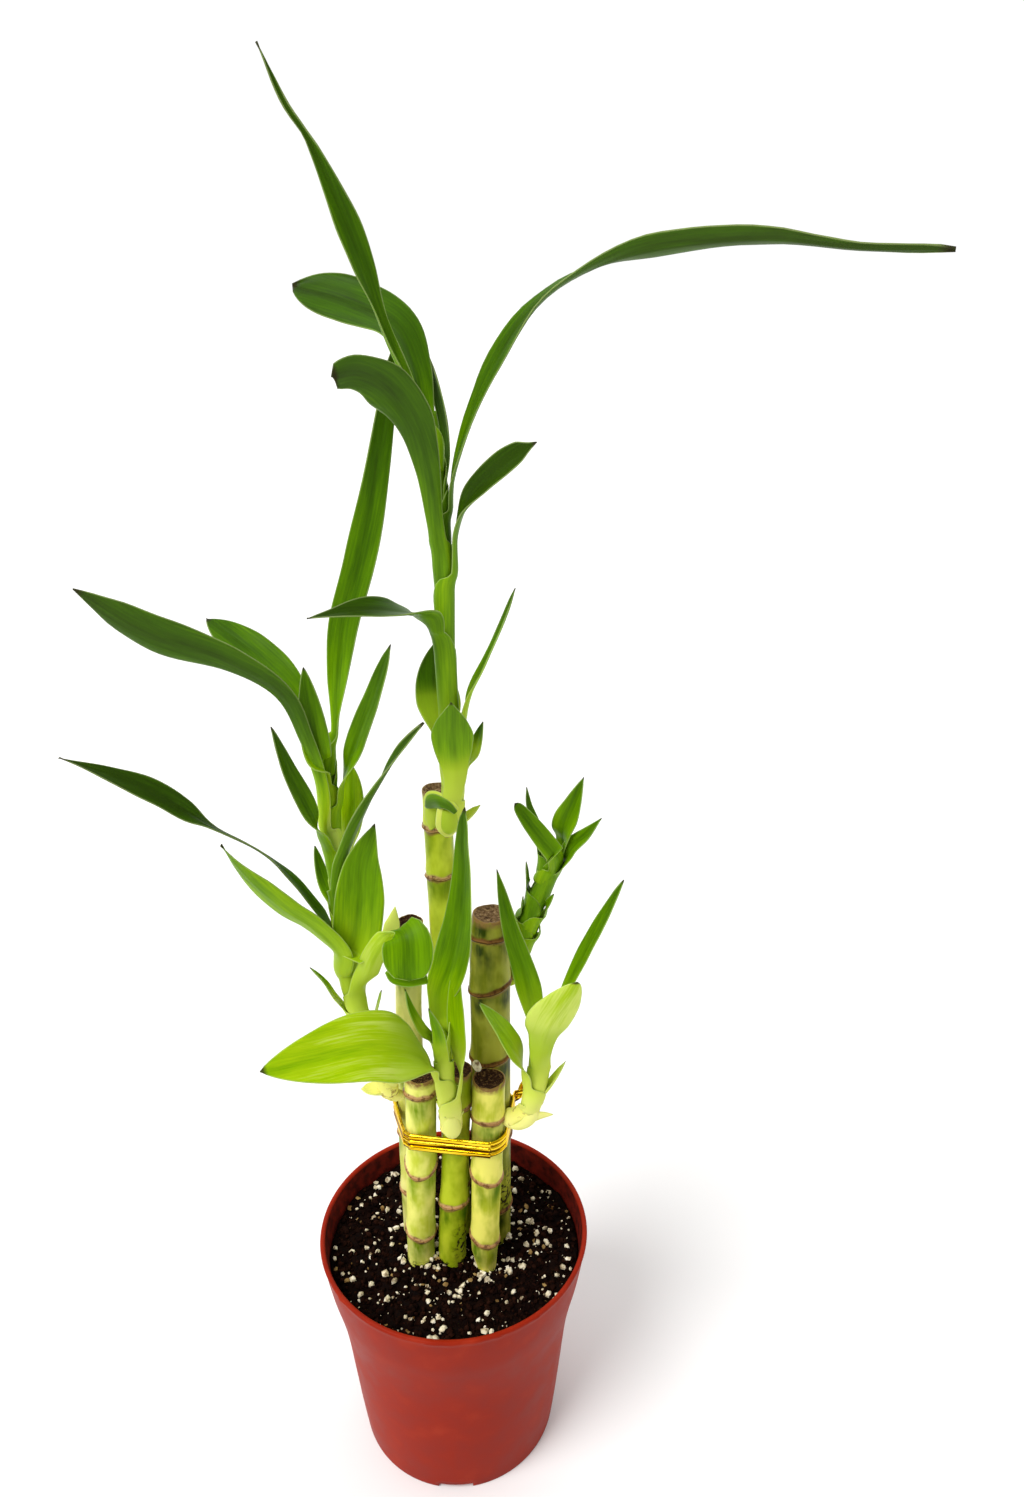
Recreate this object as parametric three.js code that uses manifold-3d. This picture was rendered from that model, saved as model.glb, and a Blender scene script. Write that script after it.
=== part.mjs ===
// Lucky bamboo: six cut canes in a nursery pot, tied with gold wire, with five leafy shoots.
// Millimetres, +Z up. The origin is the centre of the pot's foot, on the surface it stands on.
// +X is to the right and +Y to the back, seen from the front of the plant.

import * as THREE from "three";
import { mergeVertices } from "three/addons/utils/BufferGeometryUtils.js";
import Module from "manifold-3d";

const wasm = await Module();
wasm.setup();

// ---------- driving dimensions ----------

const GAP = 0.3; // clearance between pieces that touch on the real plant

const POT = {
  rimRadius: 45,
  footRadius: 34,
  height: 85,
  wall: 1.6,
  floor: 3.2,
  collarBottom: 62, // the upright band under the rim ends here
  collarRadius: 42.5,
  shoulderBottom: 48, // and the tapered body begins here
  shoulderRadius: 38.6,
  notchWidth: 12,
  notchHeight: 2,
  notchDepth: 3.5,
  notches: 4,
};

const SOIL_LEVEL = 77;
const SOIL_RELIEF = 1.1; // height of its lumps
const CANE_FOOT = 24; // how deep the canes stand, measured from the foot of the pot

const TIE = { wire: 1.9, pitch: 2.4, turns: 3, height: 128, startAngle: 25, tailLength: 9 };

const LEAF_THICKNESS = 0.7;
const LEAF_STATIONS = 11;
const SMALL_LEAF_STATIONS = 8;
const LEAF_SEGMENTS = 4;
const POT_SIDES = 40;
const CANE_SIDES = 12;
const SHOOT_SIDES = 10;
const SHOOT_STEPS = 20;

// Cane axes, foot first, with their radius at those heights and the heights of their node rings.
// slant tips a ring: it is how far its right side stands above its middle.
const CANES = [
  {
    name: "cane_back_tall",
    axis: [[1.6, 5, CANE_FOOT], [0.9, 5, 113], [0.2, 5, 160], [-0.6, 5, 205], [-1, 5, 247]],
    radius: [4.3, 4.3, 4.2, 4.1, 4.2],
    rings: [[100, 0], [128, 0.6], [166, 0], [192, 0.5], [220, 0], [235.5, 0.4]],
  },
  {
    name: "cane_back_right",
    axis: [[12.6, 4, CANE_FOOT], [12.9, 4, 110], [13.3, 4, 165], [13.4, 4, 190], [13.8, 4, 206]],
    radius: [6.2, 6.4, 6.2, 6.2, 5.4],
    rings: [[92, 0], [121, 0.6], [154, 1], [181, 1.8], [199.5, 0.3]],
  },
  {
    name: "cane_back_left",
    axis: [[-13.4, 4.5, CANE_FOOT], [-13.4, 4.5, 112], [-12.2, 4.5, 172], [-10.6, 4.5, 203]],
    radius: [4.3, 4.3, 4.1, 4],
    rings: [[98, 0], [122, -0.5], [150, 0], [184, 0.4]],
  },
  {
    name: "cane_front_left",
    axis: [[-11.8, -6.5, CANE_FOOT], [-10.8, -6.5, 86], [-9.2, -6.5, 125], [-8.3, -6.5, 155]],
    radius: [4.4, 4.6, 4.8, 4.9],
    rings: [[91, 0.4], [118, -0.4], [149, 0.3]],
  },
  {
    name: "cane_front_right",
    axis: [[9.6, -11.6, CANE_FOOT], [10.4, -10.9, 86], [12.1, -9.6, 130], [12.9, -9, 155]],
    radius: [2.2, 4.6, 5, 5],
    rings: [[93, 0], [118, 0.6], [142, 0.3]],
  },
  {
    name: "cane_front_middle",
    axis: [[-1.6, -6.6, CANE_FOOT], [-0.3, -6.4, 86], [1.5, -6, 120], [3.5, -6, 156]],
    radius: [4.5, 4.6, 4.3, 4.2],
    rings: [[104, 0], [143, 0]],
  },
];
const RING_RISE = 0.45; // how far a node ring stands out of its cane
const RING_HALF = 1.2; // half its height

// Shoot stems, root first, with their radius at the root, the middle and the top.
const SHOOTS = {
  top: {
    path: [[4.5, -1.1, 232.5], [5.2, -3.4, 240], [5.2, -4, 250], [4, -3.5, 277], [3, -2, 294],
      [3, 0, 314], [2.2, 1.2, 330], [2, 2.2, 351]],
    radius: [2.7, 2.4, 1.7],
  },
  left: {
    path: [[-15.2, -7.2, 147.6], [-17.6, -7.7, 148.4], [-20.2, -8.8, 157], [-23.5, -10, 172],
      [-26.4, -11, 189], [-28, -11, 212], [-28.5, -11, 230], [-29, -10, 248], [-29, -9, 268]],
    radius: [2.6, 2.4, 1.8],
  },
  front: {
    path: [[1.1, -13.9, 138.2], [1, -14.2, 146], [0, -15.2, 160], [-0.8, -16, 180]],
    radius: [3.2, 2.5, 1.9],
  },
  right: {
    path: [[18.7, -9.6, 140.8], [21.2, -10, 141.4], [24.2, -11, 146], [27, -12, 154], [28.5, -12, 165],
      [29, -11.4, 176]],
    radius: [2.1, 2.2, 1.8],
  },
  back_right: {
    path: [[19.9, 7.4, 178], [22.4, 8.6, 179.6], [24.3, 9.3, 188], [26.5, 10, 202], [30, 11, 213],
      [32, 12, 222]],
    radius: [2, 2.1, 1.7],
  },
};

// Leaves. Each clasps its shoot from one height to another, on the side that `side` gives in
// degrees round the shoot (0 right, 90 back, -90 front), then follows its own points to the tip.
// face gives the way that its upper side looks at fractions of its length.
const LEAVES = {
  top: [
    { clasp: [241, 246], side: -90, width: 11.6, neck: 0.62, widest: 0.7, bend: 0.35,
      points: [[5, -9.6, 257], [4.8, -12, 268], [5, -16, 281.5]],
      face: [[0.6, 0, 1, 0.3], [1, 0, 0.9, 0.6]] },
    { clasp: [250, 253.5], side: 10, width: 5.6, neck: 0.8, widest: 0.5, small: true,
      points: [[10.4, -1.4, 262], [12.6, 1.5, 269]],
      face: [[0.6, -0.7, -0.6, 0.4], [1, -0.7, -0.5, 0.5]] },
    { clasp: [257, 260.5], side: 115, width: 12.5, neck: 0.7, widest: 0.5, bend: 0.3,
      points: [[0.6, 4.5, 271], [-0.8, 11, 278], [-0.4, 18, 287]],
      face: [[0.5, 0.2, -0.9, 0.5], [1, 0.1, -0.7, 0.7]] },
    { clasp: [264, 267.5], side: -12, width: 5, neck: 0.9, widest: 0.35, bend: 0.8,
      points: [[9.6, -3.4, 279], [13.6, -0.6, 287], [18.6, 5, 297], [21.6, 9, 304.5]],
      face: [[0.5, -0.8, -0.4, 0.4], [1, -0.7, -0.4, 0.5]] },
    { clasp: [288, 292.5], side: -150, width: 12, neck: 0.55, widest: 0.5, bend: 0.3, wave: 0.5,
      points: [[-2.6, -7.4, 301.4], [-8, -13, 304.5], [-17, -20, 306.8], [-28, -26.5, 307]],
      face: [[0.35, 0, 0, 1], [0.7, 0.1, -0.25, 1], [1, 0, -0.1, 1]] },
    { clasp: [303, 308], side: -20, width: 8.4, neck: 0.5, widest: 0.72, bend: 0.5,
      points: [[7, -2.6, 322], [10.6, -5.5, 331], [18.4, -11.5, 339.5], [26.6, -16, 346]],
      face: [[0.4, -0.9, 0, 0.3], [0.7, -0.4, -0.8, 0.5], [1, -0.3, -0.8, 0.5]] },
    { clasp: [312, 316.5], side: -105, width: 17, neck: 0.42, widest: 0.66, bend: 0.25, wave: 0.5,
      points: [[1, -4.8, 326], [-0.2, -7.5, 338.5], [-2.6, -11.5, 350.5], [-7.5, -18, 360.6],
        [-12.6, -25.5, 364.6], [-17, -32, 362.6]],
      face: [[0.3, 0, 1, 0.3], [0.6, 0.5, 0.8, 0.5], [0.8, 0.3, 0.7, 0.8], [1, 0, 0.6, 0.9]] },
    { clasp: [320, 324], side: -8, width: 9, neck: 0.4, waist: [0.46, 0.5], widest: 0.66, bend: 0.3, wave: 0.5,
      points: [[6.6, 0, 336], [12.4, -2, 353], [21, -5, 368.5], [30, -8, 378], [43, -12, 384.4],
        [59, -17, 387.6], [76, -22, 388.4], [94, -27.5, 386.4], [111.5, -32, 386]],
      face: [[0.15, -0.8, -0.3, 0.5], [0.3, -0.6, -0.6, 0.6], [0.45, -0.3, 0.15, 1],
        [0.6, 0, 0.5, 0.85], [0.85, 0, 0.3, 0.95], [1, 0, 0.4, 0.9]] },
    { clasp: [327.5, 330.5], side: 75, width: 4.6, neck: 0.7, widest: 0.5, small: true, bend: 0.8,
      points: [[4.4, 8.4, 344], [2.4, 14, 354], [-0.6, 21, 363]],
      face: [[0.5, -0.9, -0.5, 0.3], [1, -0.8, -0.4, 0.5]] },
    { clasp: [334, 338], side: 125, width: 15, neck: 0.35, widest: 0.68, bend: 0.3, wave: 0.6,
      points: [[-1.6, 8.6, 349], [-3.6, 13.5, 360], [-8.6, 20, 369.6], [-21, 29, 375], [-37, 38, 379]],
      face: [[0.3, 0.6, -0.6, 0.1], [0.6, 0.4, -0.85, 0.4], [0.8, 0.3, -0.85, 0.5],
        [1, 0.1, -0.6, 0.8]] },
    { clasp: [342, 346], side: 190, width: 8, neck: 0.56, waist: [0.34, 0.5], widest: 0.58, bend: 0.45, wave: 0.4,
      points: [[-4.4, 1.2, 357], [-9.6, 0, 371], [-15, -3, 389], [-22, -6, 407], [-27.6, -8, 416],
        [-32, -9, 426.5]],
      face: [[0.3, 0.7, -0.7, 0.2], [0.55, 0.5, -0.85, 0.1], [0.8, 0.2, -1, 0],
        [1, 0.8, -0.5, 0]] },
  ],
  left: [
    { clasp: [172, 175], side: 0, width: 3.4, neck: 0.9, widest: 0.3, small: true,
      points: [[-19.4, -11, 184], [-18, -12, 190]],
      face: [[1, -0.8, -0.4, 0.4]] },
    { clasp: [178, 181], side: 178, width: 2.8, neck: 0.9, widest: 0.4, small: true, bend: 0.8,
      points: [[-31.6, -13.6, 189], [-33.4, -18, 197.6], [-36, -22, 205]],
      face: [[0.6, 0.6, -0.4, 0.8], [1, 0.3, -0.3, 0.9]] },
    { clasp: [184, 187.5], side: -45, width: 14, neck: 0.5, widest: 0.76, blunt: 4, bend: 0.4,
      points: [[-21.6, -18.4, 197], [-18.4, -22, 209], [-13.4, -26.6, 218], [-9.4, -32, 219.6],
        [-7.6, -36, 213.5], [-7.6, -36.6, 208]],
      face: [[0.3, 0.2, 1, 0.3], [0.55, 0.3, 0.3, 0.9], [0.75, 0.1, -0.5, 0.9], [1, 0, -1, 0.1]] },
    { clasp: [191, 194.5], side: -140, width: 9.6, neck: 0.55, widest: 0.6, bend: 0.35, wave: 0.5,
      points: [[-31.4, -17.4, 208], [-36, -21.5, 219], [-44, -26, 230], [-49.4, -30, 240],
        [-52.4, -34, 250]],
      face: [[0.35, 0.4, 0.9, 0.5], [0.7, 0.4, 0.7, 0.6], [1, 0.9, 0.2, 0.4]] },
    { clasp: [198, 201.5], side: -50, width: 15.5, neck: 0.6, widest: 0.55, bend: 0.5,
      points: [[-22.4, -16, 212], [-20.4, -18.4, 224], [-18.6, -19.6, 237], [-15.6, -20, 248.5]],
      face: [[0.45, 0, -0.9, 0.5], [0.7, 0.05, -0.9, 0.4], [1, 0, -0.9, 0.4]] },
    { clasp: [205, 208.5], side: 172, width: 7, neck: 0.3, widest: 0.76, bend: 0.4, wave: 0.5,
      points: [[-34.6, -13, 219], [-40, -17, 231], [-47, -21.6, 242], [-57, -28, 252.5],
        [-66, -34, 264], [-76, -39.5, 272.6], [-85, -44, 279]],
      face: [[0.25, 0.6, -0.5, 0.6], [0.5, 0.2, 0.6, 0.8], [0.7, 0.2, -0.6, 0.8],
        [1, 0.2, -0.6, 0.8]] },
    { clasp: [212, 215], side: 130, width: 4.8, neck: 0.9, widest: 0.45, small: true,
      points: [[-33.6, -5.6, 224], [-36, -1, 232]],
      face: [[0.6, 0.7, -0.7, 0.3], [1, 0.5, -0.7, 0.4]] },
    { clasp: [218.5, 222], side: -85, width: 5.4, neck: 0.8, widest: 0.6, bend: 0.6, wave: 0.5,
      points: [[-26, -18, 236], [-20.6, -22, 249], [-13.6, -27.6, 263], [-7, -32.6, 275],
        [-0.4, -37, 284.5]],
      face: [[0.35, -0.4, 0.6, 0.7], [0.6, -0.7, 0.2, 0.6], [1, -0.7, -0.4, 0.6]] },
    { clasp: [225.5, 228], side: 25, width: 8.4, neck: 0.7, widest: 0.6, small: true,
      points: [[-24.6, -7.4, 238], [-23.6, -5, 247], [-24, 1, 256]],
      face: [[0.5, -0.5, -0.8, 0.2], [1, -0.2, -0.8, 0.5]] },
    { clasp: [231, 234], side: -110, width: 5.2, neck: 0.75, widest: 0.5, bend: 0.6,
      points: [[-30.8, -16.8, 243], [-33.4, -19.4, 253], [-37, -23.4, 267], [-39, -27, 279.5]],
      face: [[0.5, 0.6, -0.6, 0.5], [1, 0.6, -0.5, 0.5]] },
    { clasp: [237.5, 241], side: -125, width: 9.6, neck: 0.62, widest: 0.66, bend: 0.4, wave: 0.5,
      points: [[-31.2, -16.8, 256], [-33.2, -19.4, 273.5], [-38.6, -22.8, 287.5], [-50, -26, 296],
        [-64, -30.4, 305], [-79.6, -34, 317]],
      face: [[0.3, 0.3, 0.9, 0.3], [0.5, 0.5, 0, 1], [0.7, 0.3, -0.7, 0.6], [1, 0.3, -0.7, 0.6]] },
    { clasp: [244.5, 247.5], side: -15, width: 5.2, neck: 0.7, widest: 0.6, bend: 0.4,
      points: [[-24.6, -11.4, 257], [-20, -15, 270], [-14.4, -19, 284], [-9, -22, 299]],
      face: [[0.5, -0.8, -0.5, 0.4], [1, -0.7, -0.5, 0.5]] },
    { clasp: [250.5, 253.5], side: -120, width: 6.4, neck: 0.7, widest: 0.5, small: true,
      points: [[-31.8, -13.8, 266.5], [-33.4, -13.6, 279.5], [-33.4, -12.6, 289.5]],
      face: [[0.5, 0.2, -1, 0.1], [1, 0.2, -1, 0]] },
    { clasp: [256.5, 260], side: 115, width: 12, neck: 0.42, widest: 0.62, bend: 0.35, wave: 0.4,
      points: [[-33, -1.6, 268], [-38.6, 4.6, 279.6], [-52, 16, 287], [-67, 27, 290.5]],
      face: [[0.35, 0.5, -0.6, 0.5], [0.6, 0.3, -0.7, 0.7], [1, 0.2, -0.7, 0.7]] },
    { clasp: [263, 266.5], side: 35, width: 9, neck: 0.5, widest: 0.5, bend: 0.35, wave: 0.6,
      points: [[-26, -4, 276], [-23.6, -1, 296], [-18.4, 1.4, 314], [-13.6, 4, 332], [-10, 6.5, 352]],
      face: [[0.3, -0.3, -1, 0], [0.6, -0.1, -1, 0], [1, 0.2, -1, 0]] },
  ],
  front: [
    { clasp: [148, 152], side: -8, width: 6.4, neck: 0.85, widest: 0.55, bend: 0.5,
      points: [[5.6, -16, 163], [6.6, -15.4, 178], [7.4, -15.6, 192], [8.4, -16, 204]],
      face: [[0.5, -0.5, -0.8, 0.2], [1, -0.4, -0.9, 0.2]] },
    { clasp: [156, 160], side: -150, width: 21, neck: 0.34, widest: 0.52, bend: 0.3,
      points: [[-4.6, -22, 172], [-10, -28.6, 181.5], [-20, -37, 189], [-32, -46, 192.6],
        [-44, -54.5, 196]],
      face: [[0.3, 0.3, -0.2, 0.9], [0.5, 0, -0.6, 0.8], [1, 0.1, -0.6, 0.8]] },
    { clasp: [163.5, 166], side: -85, width: 4.6, neck: 0.8, widest: 0.4, small: true,
      points: [[-0.6, -22.4, 176], [-1, -25, 185], [-3, -27.4, 195]],
      face: [[0.5, 0.2, 0.9, 0.5], [1, 0.2, 0.9, 0.5]] },
    { clasp: [169.5, 172], side: 165, width: 3.8, neck: 0.8, widest: 0.4, small: true,
      points: [[-6.2, -17.2, 180], [-8.8, -18.8, 188], [-10.2, -19.8, 196]],
      face: [[0.5, 0.9, -0.5, 0.2], [1, 0.9, -0.5, 0.2]] },
    { clasp: [175, 178], side: 95, width: 12, neck: 0.6, widest: 0.4, bend: 0.5, wave: 0.4,
      points: [[-1.2, -13.4, 190], [-0.4, -16, 201], [3.4, -19, 215], [6.6, -21.6, 230],
        [8.4, -23, 254]],
      face: [[0.3, -0.2, -1, 0.3], [0.6, -0.5, -0.8, 0.3], [1, -0.6, -0.6, 0.2]] },
  ],
  right: [
    { clasp: [150.5, 153.5], side: -155, width: 8, neck: 0.65, widest: 0.5,
      points: [[21.4, -14.6, 163], [18.6, -18.4, 174], [15, -22, 185], [11, -26, 196]],
      face: [[0.5, 0.5, -0.4, 0.7], [1, 0.4, -0.5, 0.7]] },
    { clasp: [157, 160.5], side: -80, width: 16, neck: 0.55, widest: 0.55, bend: 0.35,
      points: [[28.2, -18, 168], [28.6, -20, 178], [33, -24.6, 191], [39.6, -31, 207]],
      face: [[0.35, 0, 1, 0.2], [0.6, -0.1, 0.95, 0.3], [1, -0.2, 0.9, 0.4]] },
    { clasp: [164, 167], side: 125, width: 8.4, neck: 0.5, widest: 0.5, bend: 0.4,
      points: [[27.4, -7.4, 176], [26.4, -5.6, 190], [22.4, -4.8, 207], [17, -4.6, 226]],
      face: [[0.5, -0.2, -1, 0.1], [1, -0.2, -1, 0.1]] },
    { clasp: [170, 173], side: 20, width: 6.2, neck: 0.6, widest: 0.66, bend: 0.5,
      points: [[33.6, -9.4, 180], [38.4, -8, 192], [45.4, -6, 207], [52.4, -4, 222]],
      face: [[0.5, -0.8, -0.4, 0.4], [1, -0.7, -0.5, 0.4]] },
  ],
};

// Small scale leaves at the roots of the shoots, and the young leaves of the shoot behind,
// which are all of a piece with their stems.
const FUSED_LEAVES = {
  top: [
    { root: 233.4, side: 200, width: 7, reach: 3.3, rise: 6, lean: 0.2 },
    { root: 234.4, side: 15, width: 4, reach: 5.8, rise: 8, lean: 0.9 },
  ],
  left: [
    { root: 148.6, side: 190, width: 7, reach: 9, rise: 3, lean: 1 },
    { root: 152, side: -60, width: 6, reach: 3.4, rise: 9, lean: 0.3 },
  ],
  front: [
    { root: 140.6, side: -10, width: 4, reach: 3.5, rise: 6.4, lean: 0.2 },
    { root: 140, side: -110, width: 6, reach: 3.6, rise: 7, lean: 0.1 },
  ],
  right: [
    { root: 143, side: -10, width: 5, reach: 8.5, rise: 4.5, lean: 1 },
    { root: 148, side: 5, width: 5, reach: 10, rise: 12, lean: 1 },
    { root: 143.5, side: -120, width: 5, reach: 3.4, rise: 5, lean: 0.2 },
  ],
  back_right: [
    { root: 181, side: 20, width: 6, reach: 6, rise: 6, lean: 0.8, face: [0.2, -1, 0.6] },
    { root: 185, side: 215, width: 6, reach: 3.8, rise: 11, lean: 0.4, face: [0.6, -1, 0.4] },
    { root: 188, side: 5, width: 7, reach: 6.4, rise: 10, lean: 0.6, face: [-0.4, -1, 0.4] },
    { root: 193, side: 190, width: 7, reach: 5, rise: 14, lean: 0.4, face: [0.6, -1, 0.4] },
    { root: 199, side: -70, width: 9, reach: 4.6, rise: 15, lean: 0.3 },
    { root: 205, side: -20, width: 8, reach: 16, rise: 29, lean: 0.9, face: [-0.3, -1, 0.5] },
    { root: 207, side: 195, width: 8, reach: 12, rise: 31, lean: 0.7, face: [0.4, -1, 0.4] },
    { root: 212, side: 145, width: 5, reach: 10, rise: 29, lean: 0.6, face: [0.2, -1, 0.2] },
    { root: 211, side: 20, width: 9.4, reach: 10.5, rise: 35, lean: 0.6, face: [-0.2, -1, 0.4] },
  ],
};

// ---------- materials ----------

const finish = (color, roughness, metalness = 0) =>
  new THREE.MeshStandardMaterial({ color, roughness, metalness });

const MATERIALS = {
  pot: finish(0xa03222, 0.5),
  soil: finish(0x21150f, 1),
  cane: finish(0xa9b84a, 0.55),
  shoot: finish(0xa8c94a, 0.5),
  leafDark: finish(0x3f7413, 0.4),
  leafMid: finish(0x5f9a14, 0.4),
  leafBright: finish(0x86bf0c, 0.4),
  tie: finish(0xf2c100, 0.25, 1),
};
const LEAF_FINISH = { top: "leafDark", left: "leafMid", front: "leafBright", right: "leafBright" };

// ---------- shared geometry ----------

const vector = (p) => new THREE.Vector3(...p);
const radians = THREE.MathUtils.degToRad;
const mix = THREE.MathUtils.lerp;

function indexedGeometry(positions, indices) {
  const geometry = new THREE.BufferGeometry();
  geometry.setAttribute("position", new THREE.Float32BufferAttribute(positions.flatMap((p) => p.toArray()), 3));
  geometry.setIndex(indices);
  return geometry;
}

function toManifold(geometry) {
  const bare = geometry.clone();
  bare.deleteAttribute("normal");
  bare.deleteAttribute("uv");
  const merged = mergeVertices(bare, 1e-4);
  return new wasm.Manifold(new wasm.Mesh({
    numProp: 3,
    vertProperties: new Float32Array(merged.attributes.position.array),
    triVerts: new Uint32Array(merged.index.array),
  }));
}

function fromManifold(solid) {
  const mesh = solid.getMesh();
  const geometry = new THREE.BufferGeometry();
  geometry.setAttribute("position", new THREE.BufferAttribute(mesh.vertProperties, 3));
  geometry.setIndex(new THREE.BufferAttribute(mesh.triVerts, 1));
  return geometry;
}

// Evenly spaced points of a smooth curve through hand-picked points.
function smoothPath(points, count) {
  return new THREE.CatmullRomCurve3(points.map(vector), false, "catmullrom", 0.5).getSpacedPoints(count);
}

function tangentsOf(path) {
  return path.map((_, i) => {
    const before = path[Math.max(i - 1, 0)];
    const after = path[Math.min(i + 1, path.length - 1)];
    return after.clone().sub(before).normalize();
  });
}

// The part of a direction that is square to a tangent, as a unit vector.
function squareTo(tangent, direction) {
  return direction.clone().addScaledVector(tangent, -direction.dot(tangent)).normalize();
}

// Value at t of a list of [t, value] keys, eased between them.
function eased(keys, t) {
  const next = keys.findIndex(([at]) => at >= t);
  if (next <= 0) return keys[next < 0 ? keys.length - 1 : 0][1];
  const [t0, v0] = keys[next - 1];
  const [t1, v1] = keys[next];
  return mix(v0, v1, THREE.MathUtils.smoothstep(t, t0, t1));
}

// A round bar along a path, with a radius at each point. rise lifts each side vertex along the
// bar, and dish sinks the centre of its far end.
function barAlong(path, radii, sides, { rise = () => 0, dish = 0 } = {}) {
  const tangents = tangentsOf(path);
  let normal = squareTo(tangents[0], new THREE.Vector3(Math.abs(tangents[0].x) < 0.9 ? 1 : 0, 0.3, 0));
  const positions = [];
  const indices = [];
  path.forEach((centre, i) => {
    normal = squareTo(tangents[i], normal);
    const across = tangents[i].clone().cross(normal);
    for (let k = 0; k < sides; k++) {
      const angle = (2 * Math.PI * k) / sides;
      positions.push(centre.clone()
        .addScaledVector(normal, radii[i] * Math.cos(angle))
        .addScaledVector(across, radii[i] * Math.sin(angle))
        .addScaledVector(tangents[i], rise(i, angle)));
    }
  });
  const last = path.length - 1;
  for (let i = 0; i < last; i++) {
    for (let k = 0; k < sides; k++) {
      const a = i * sides + k;
      const b = i * sides + ((k + 1) % sides);
      indices.push(a, b, b + sides, a, b + sides, a + sides);
    }
  }
  const foot = positions.push(path[0].clone()) - 1;
  const head = positions.push(path[last].clone().addScaledVector(tangents[last], -dish)) - 1;
  for (let k = 0; k < sides; k++) {
    const next = (k + 1) % sides;
    indices.push(foot, next, k, head, last * sides + k, last * sides + next);
  }
  return indexedGeometry(positions, indices);
}

// ---------- pot and soil ----------

const innerRadius = (z) => {
  const { footRadius, shoulderBottom, shoulderRadius, collarBottom, collarRadius, rimRadius, height, wall } = POT;
  const outer = z < shoulderBottom
    ? mix(footRadius, shoulderRadius, z / shoulderBottom)
    : z < collarBottom
      ? mix(shoulderRadius, collarRadius, (z - shoulderBottom) / (collarBottom - shoulderBottom))
      : mix(collarRadius, rimRadius, (z - collarBottom) / (height - collarBottom));
  return outer - wall;
};

function buildPot() {
  const { rimRadius, footRadius, height, floor, collarBottom, collarRadius } = POT;
  const { shoulderBottom, shoulderRadius, notches, notchWidth, notchHeight, notchDepth } = POT;
  const profile = [
    [0, 0],
    [footRadius - 0.6, 0],
    [footRadius, 0.6],
    [shoulderRadius, shoulderBottom],
    [collarRadius, collarBottom],
    [rimRadius, height - 0.5],
    [rimRadius - 0.5, height],
    [innerRadius(height), height],
    [innerRadius(collarBottom), collarBottom],
    [innerRadius(shoulderBottom), shoulderBottom],
    [innerRadius(floor), floor],
    [0, floor],
  ].map(([r, z]) => new THREE.Vector2(r, z));
  const body = new THREE.LatheGeometry(profile, POT_SIDES);
  body.rotateX(Math.PI / 2);
  let pot = toManifold(body);
  for (let i = 0; i < notches; i++) {
    const cutter = new THREE.BoxGeometry(2 * notchDepth, notchWidth, 2 * notchHeight);
    cutter.translate(footRadius, 0, 0);
    cutter.rotateZ(-Math.PI / 2 + (2 * Math.PI * i) / notches);
    pot = pot.subtract(toManifold(cutter));
  }
  return fromManifold(pot);
}

const soilHeight = (x, y) =>
  SOIL_LEVEL + SOIL_RELIEF * (0.5 * Math.sin(0.31 * x + 0.6) * Math.cos(0.27 * y) + 0.3 * Math.sin(0.63 * y + 0.4 * x));

function buildSoil(holes) {
  const rings = [40.5, 33, 25, 17, 9];
  const edge = (z) => innerRadius(z) - GAP;
  const bottom = POT.floor + GAP;
  const profile = [
    [0, bottom],
    [edge(bottom), bottom],
    [edge(POT.shoulderBottom), POT.shoulderBottom],
    [edge(POT.collarBottom), POT.collarBottom],
    [edge(SOIL_LEVEL - 2), SOIL_LEVEL - 2],
    ...rings.map((r) => [r, SOIL_LEVEL]),
    [0, SOIL_LEVEL],
  ].map(([r, z]) => new THREE.Vector2(r, z));
  const body = new THREE.LatheGeometry(profile, POT_SIDES);
  body.rotateX(Math.PI / 2);
  const position = body.attributes.position;
  for (let i = 0; i < position.count; i++) {
    if (position.getZ(i) > SOIL_LEVEL - 1) {
      position.setZ(i, soilHeight(position.getX(i), position.getY(i)));
    }
  }
  return fromManifold(holes.reduce((soil, hole) => soil.subtract(toManifold(hole)), toManifold(body)));
}

// ---------- canes ----------

// Heights along a cane where its outline changes: its ends, its bends, and every ring.
function caneStations({ axis, rings }) {
  const top = axis[axis.length - 1][2];
  const stations = axis.slice(0, -1).map((point) => ({ z: point[2], swell: 0, slant: 0 }));
  for (const [z, slant] of rings) {
    stations.push(
      { z: z - RING_HALF, swell: 0, slant },
      { z, swell: RING_RISE, slant },
      { z: z + RING_HALF, swell: 0, slant },
    );
  }
  stations.push({ z: top - 0.7, swell: 0, slant: 0 }, { z: top, swell: -0.7, slant: 0 });
  return stations.sort((a, b) => a.z - b.z);
}

// Value of a cane's axis or radius at a height, straight between its given points.
function alongCane(cane, z) {
  const { axis, radius } = cane;
  const next = Math.max(1, axis.findIndex((p) => p[2] >= z));
  const share = (z - axis[next - 1][2]) / (axis[next][2] - axis[next - 1][2]);
  return {
    centre: vector(axis[next - 1]).lerp(vector(axis[next]), share),
    radius: mix(radius[next - 1], radius[next], share),
  };
}

function buildCane(cane) {
  const stations = caneStations(cane);
  const places = stations.map(({ z }) => alongCane(cane, z));
  return barAlong(
    places.map((place) => place.centre),
    places.map((place, i) => place.radius + stations[i].swell),
    CANE_SIDES,
    { rise: (i, angle) => stations[i].slant * Math.cos(angle), dish: 1.2 },
  );
}

// The hole that a cane stands in, GAP wider and deeper than the cane.
function caneHole(cane) {
  const places = [CANE_FOOT, SOIL_LEVEL + 8].map((z) => alongCane(cane, z));
  places[0].centre.z -= GAP;
  return barAlong(
    places.map((place) => place.centre),
    places.map((place) => place.radius + GAP + 0.1),
    CANE_SIDES,
  );
}

// ---------- tie ----------

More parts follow.
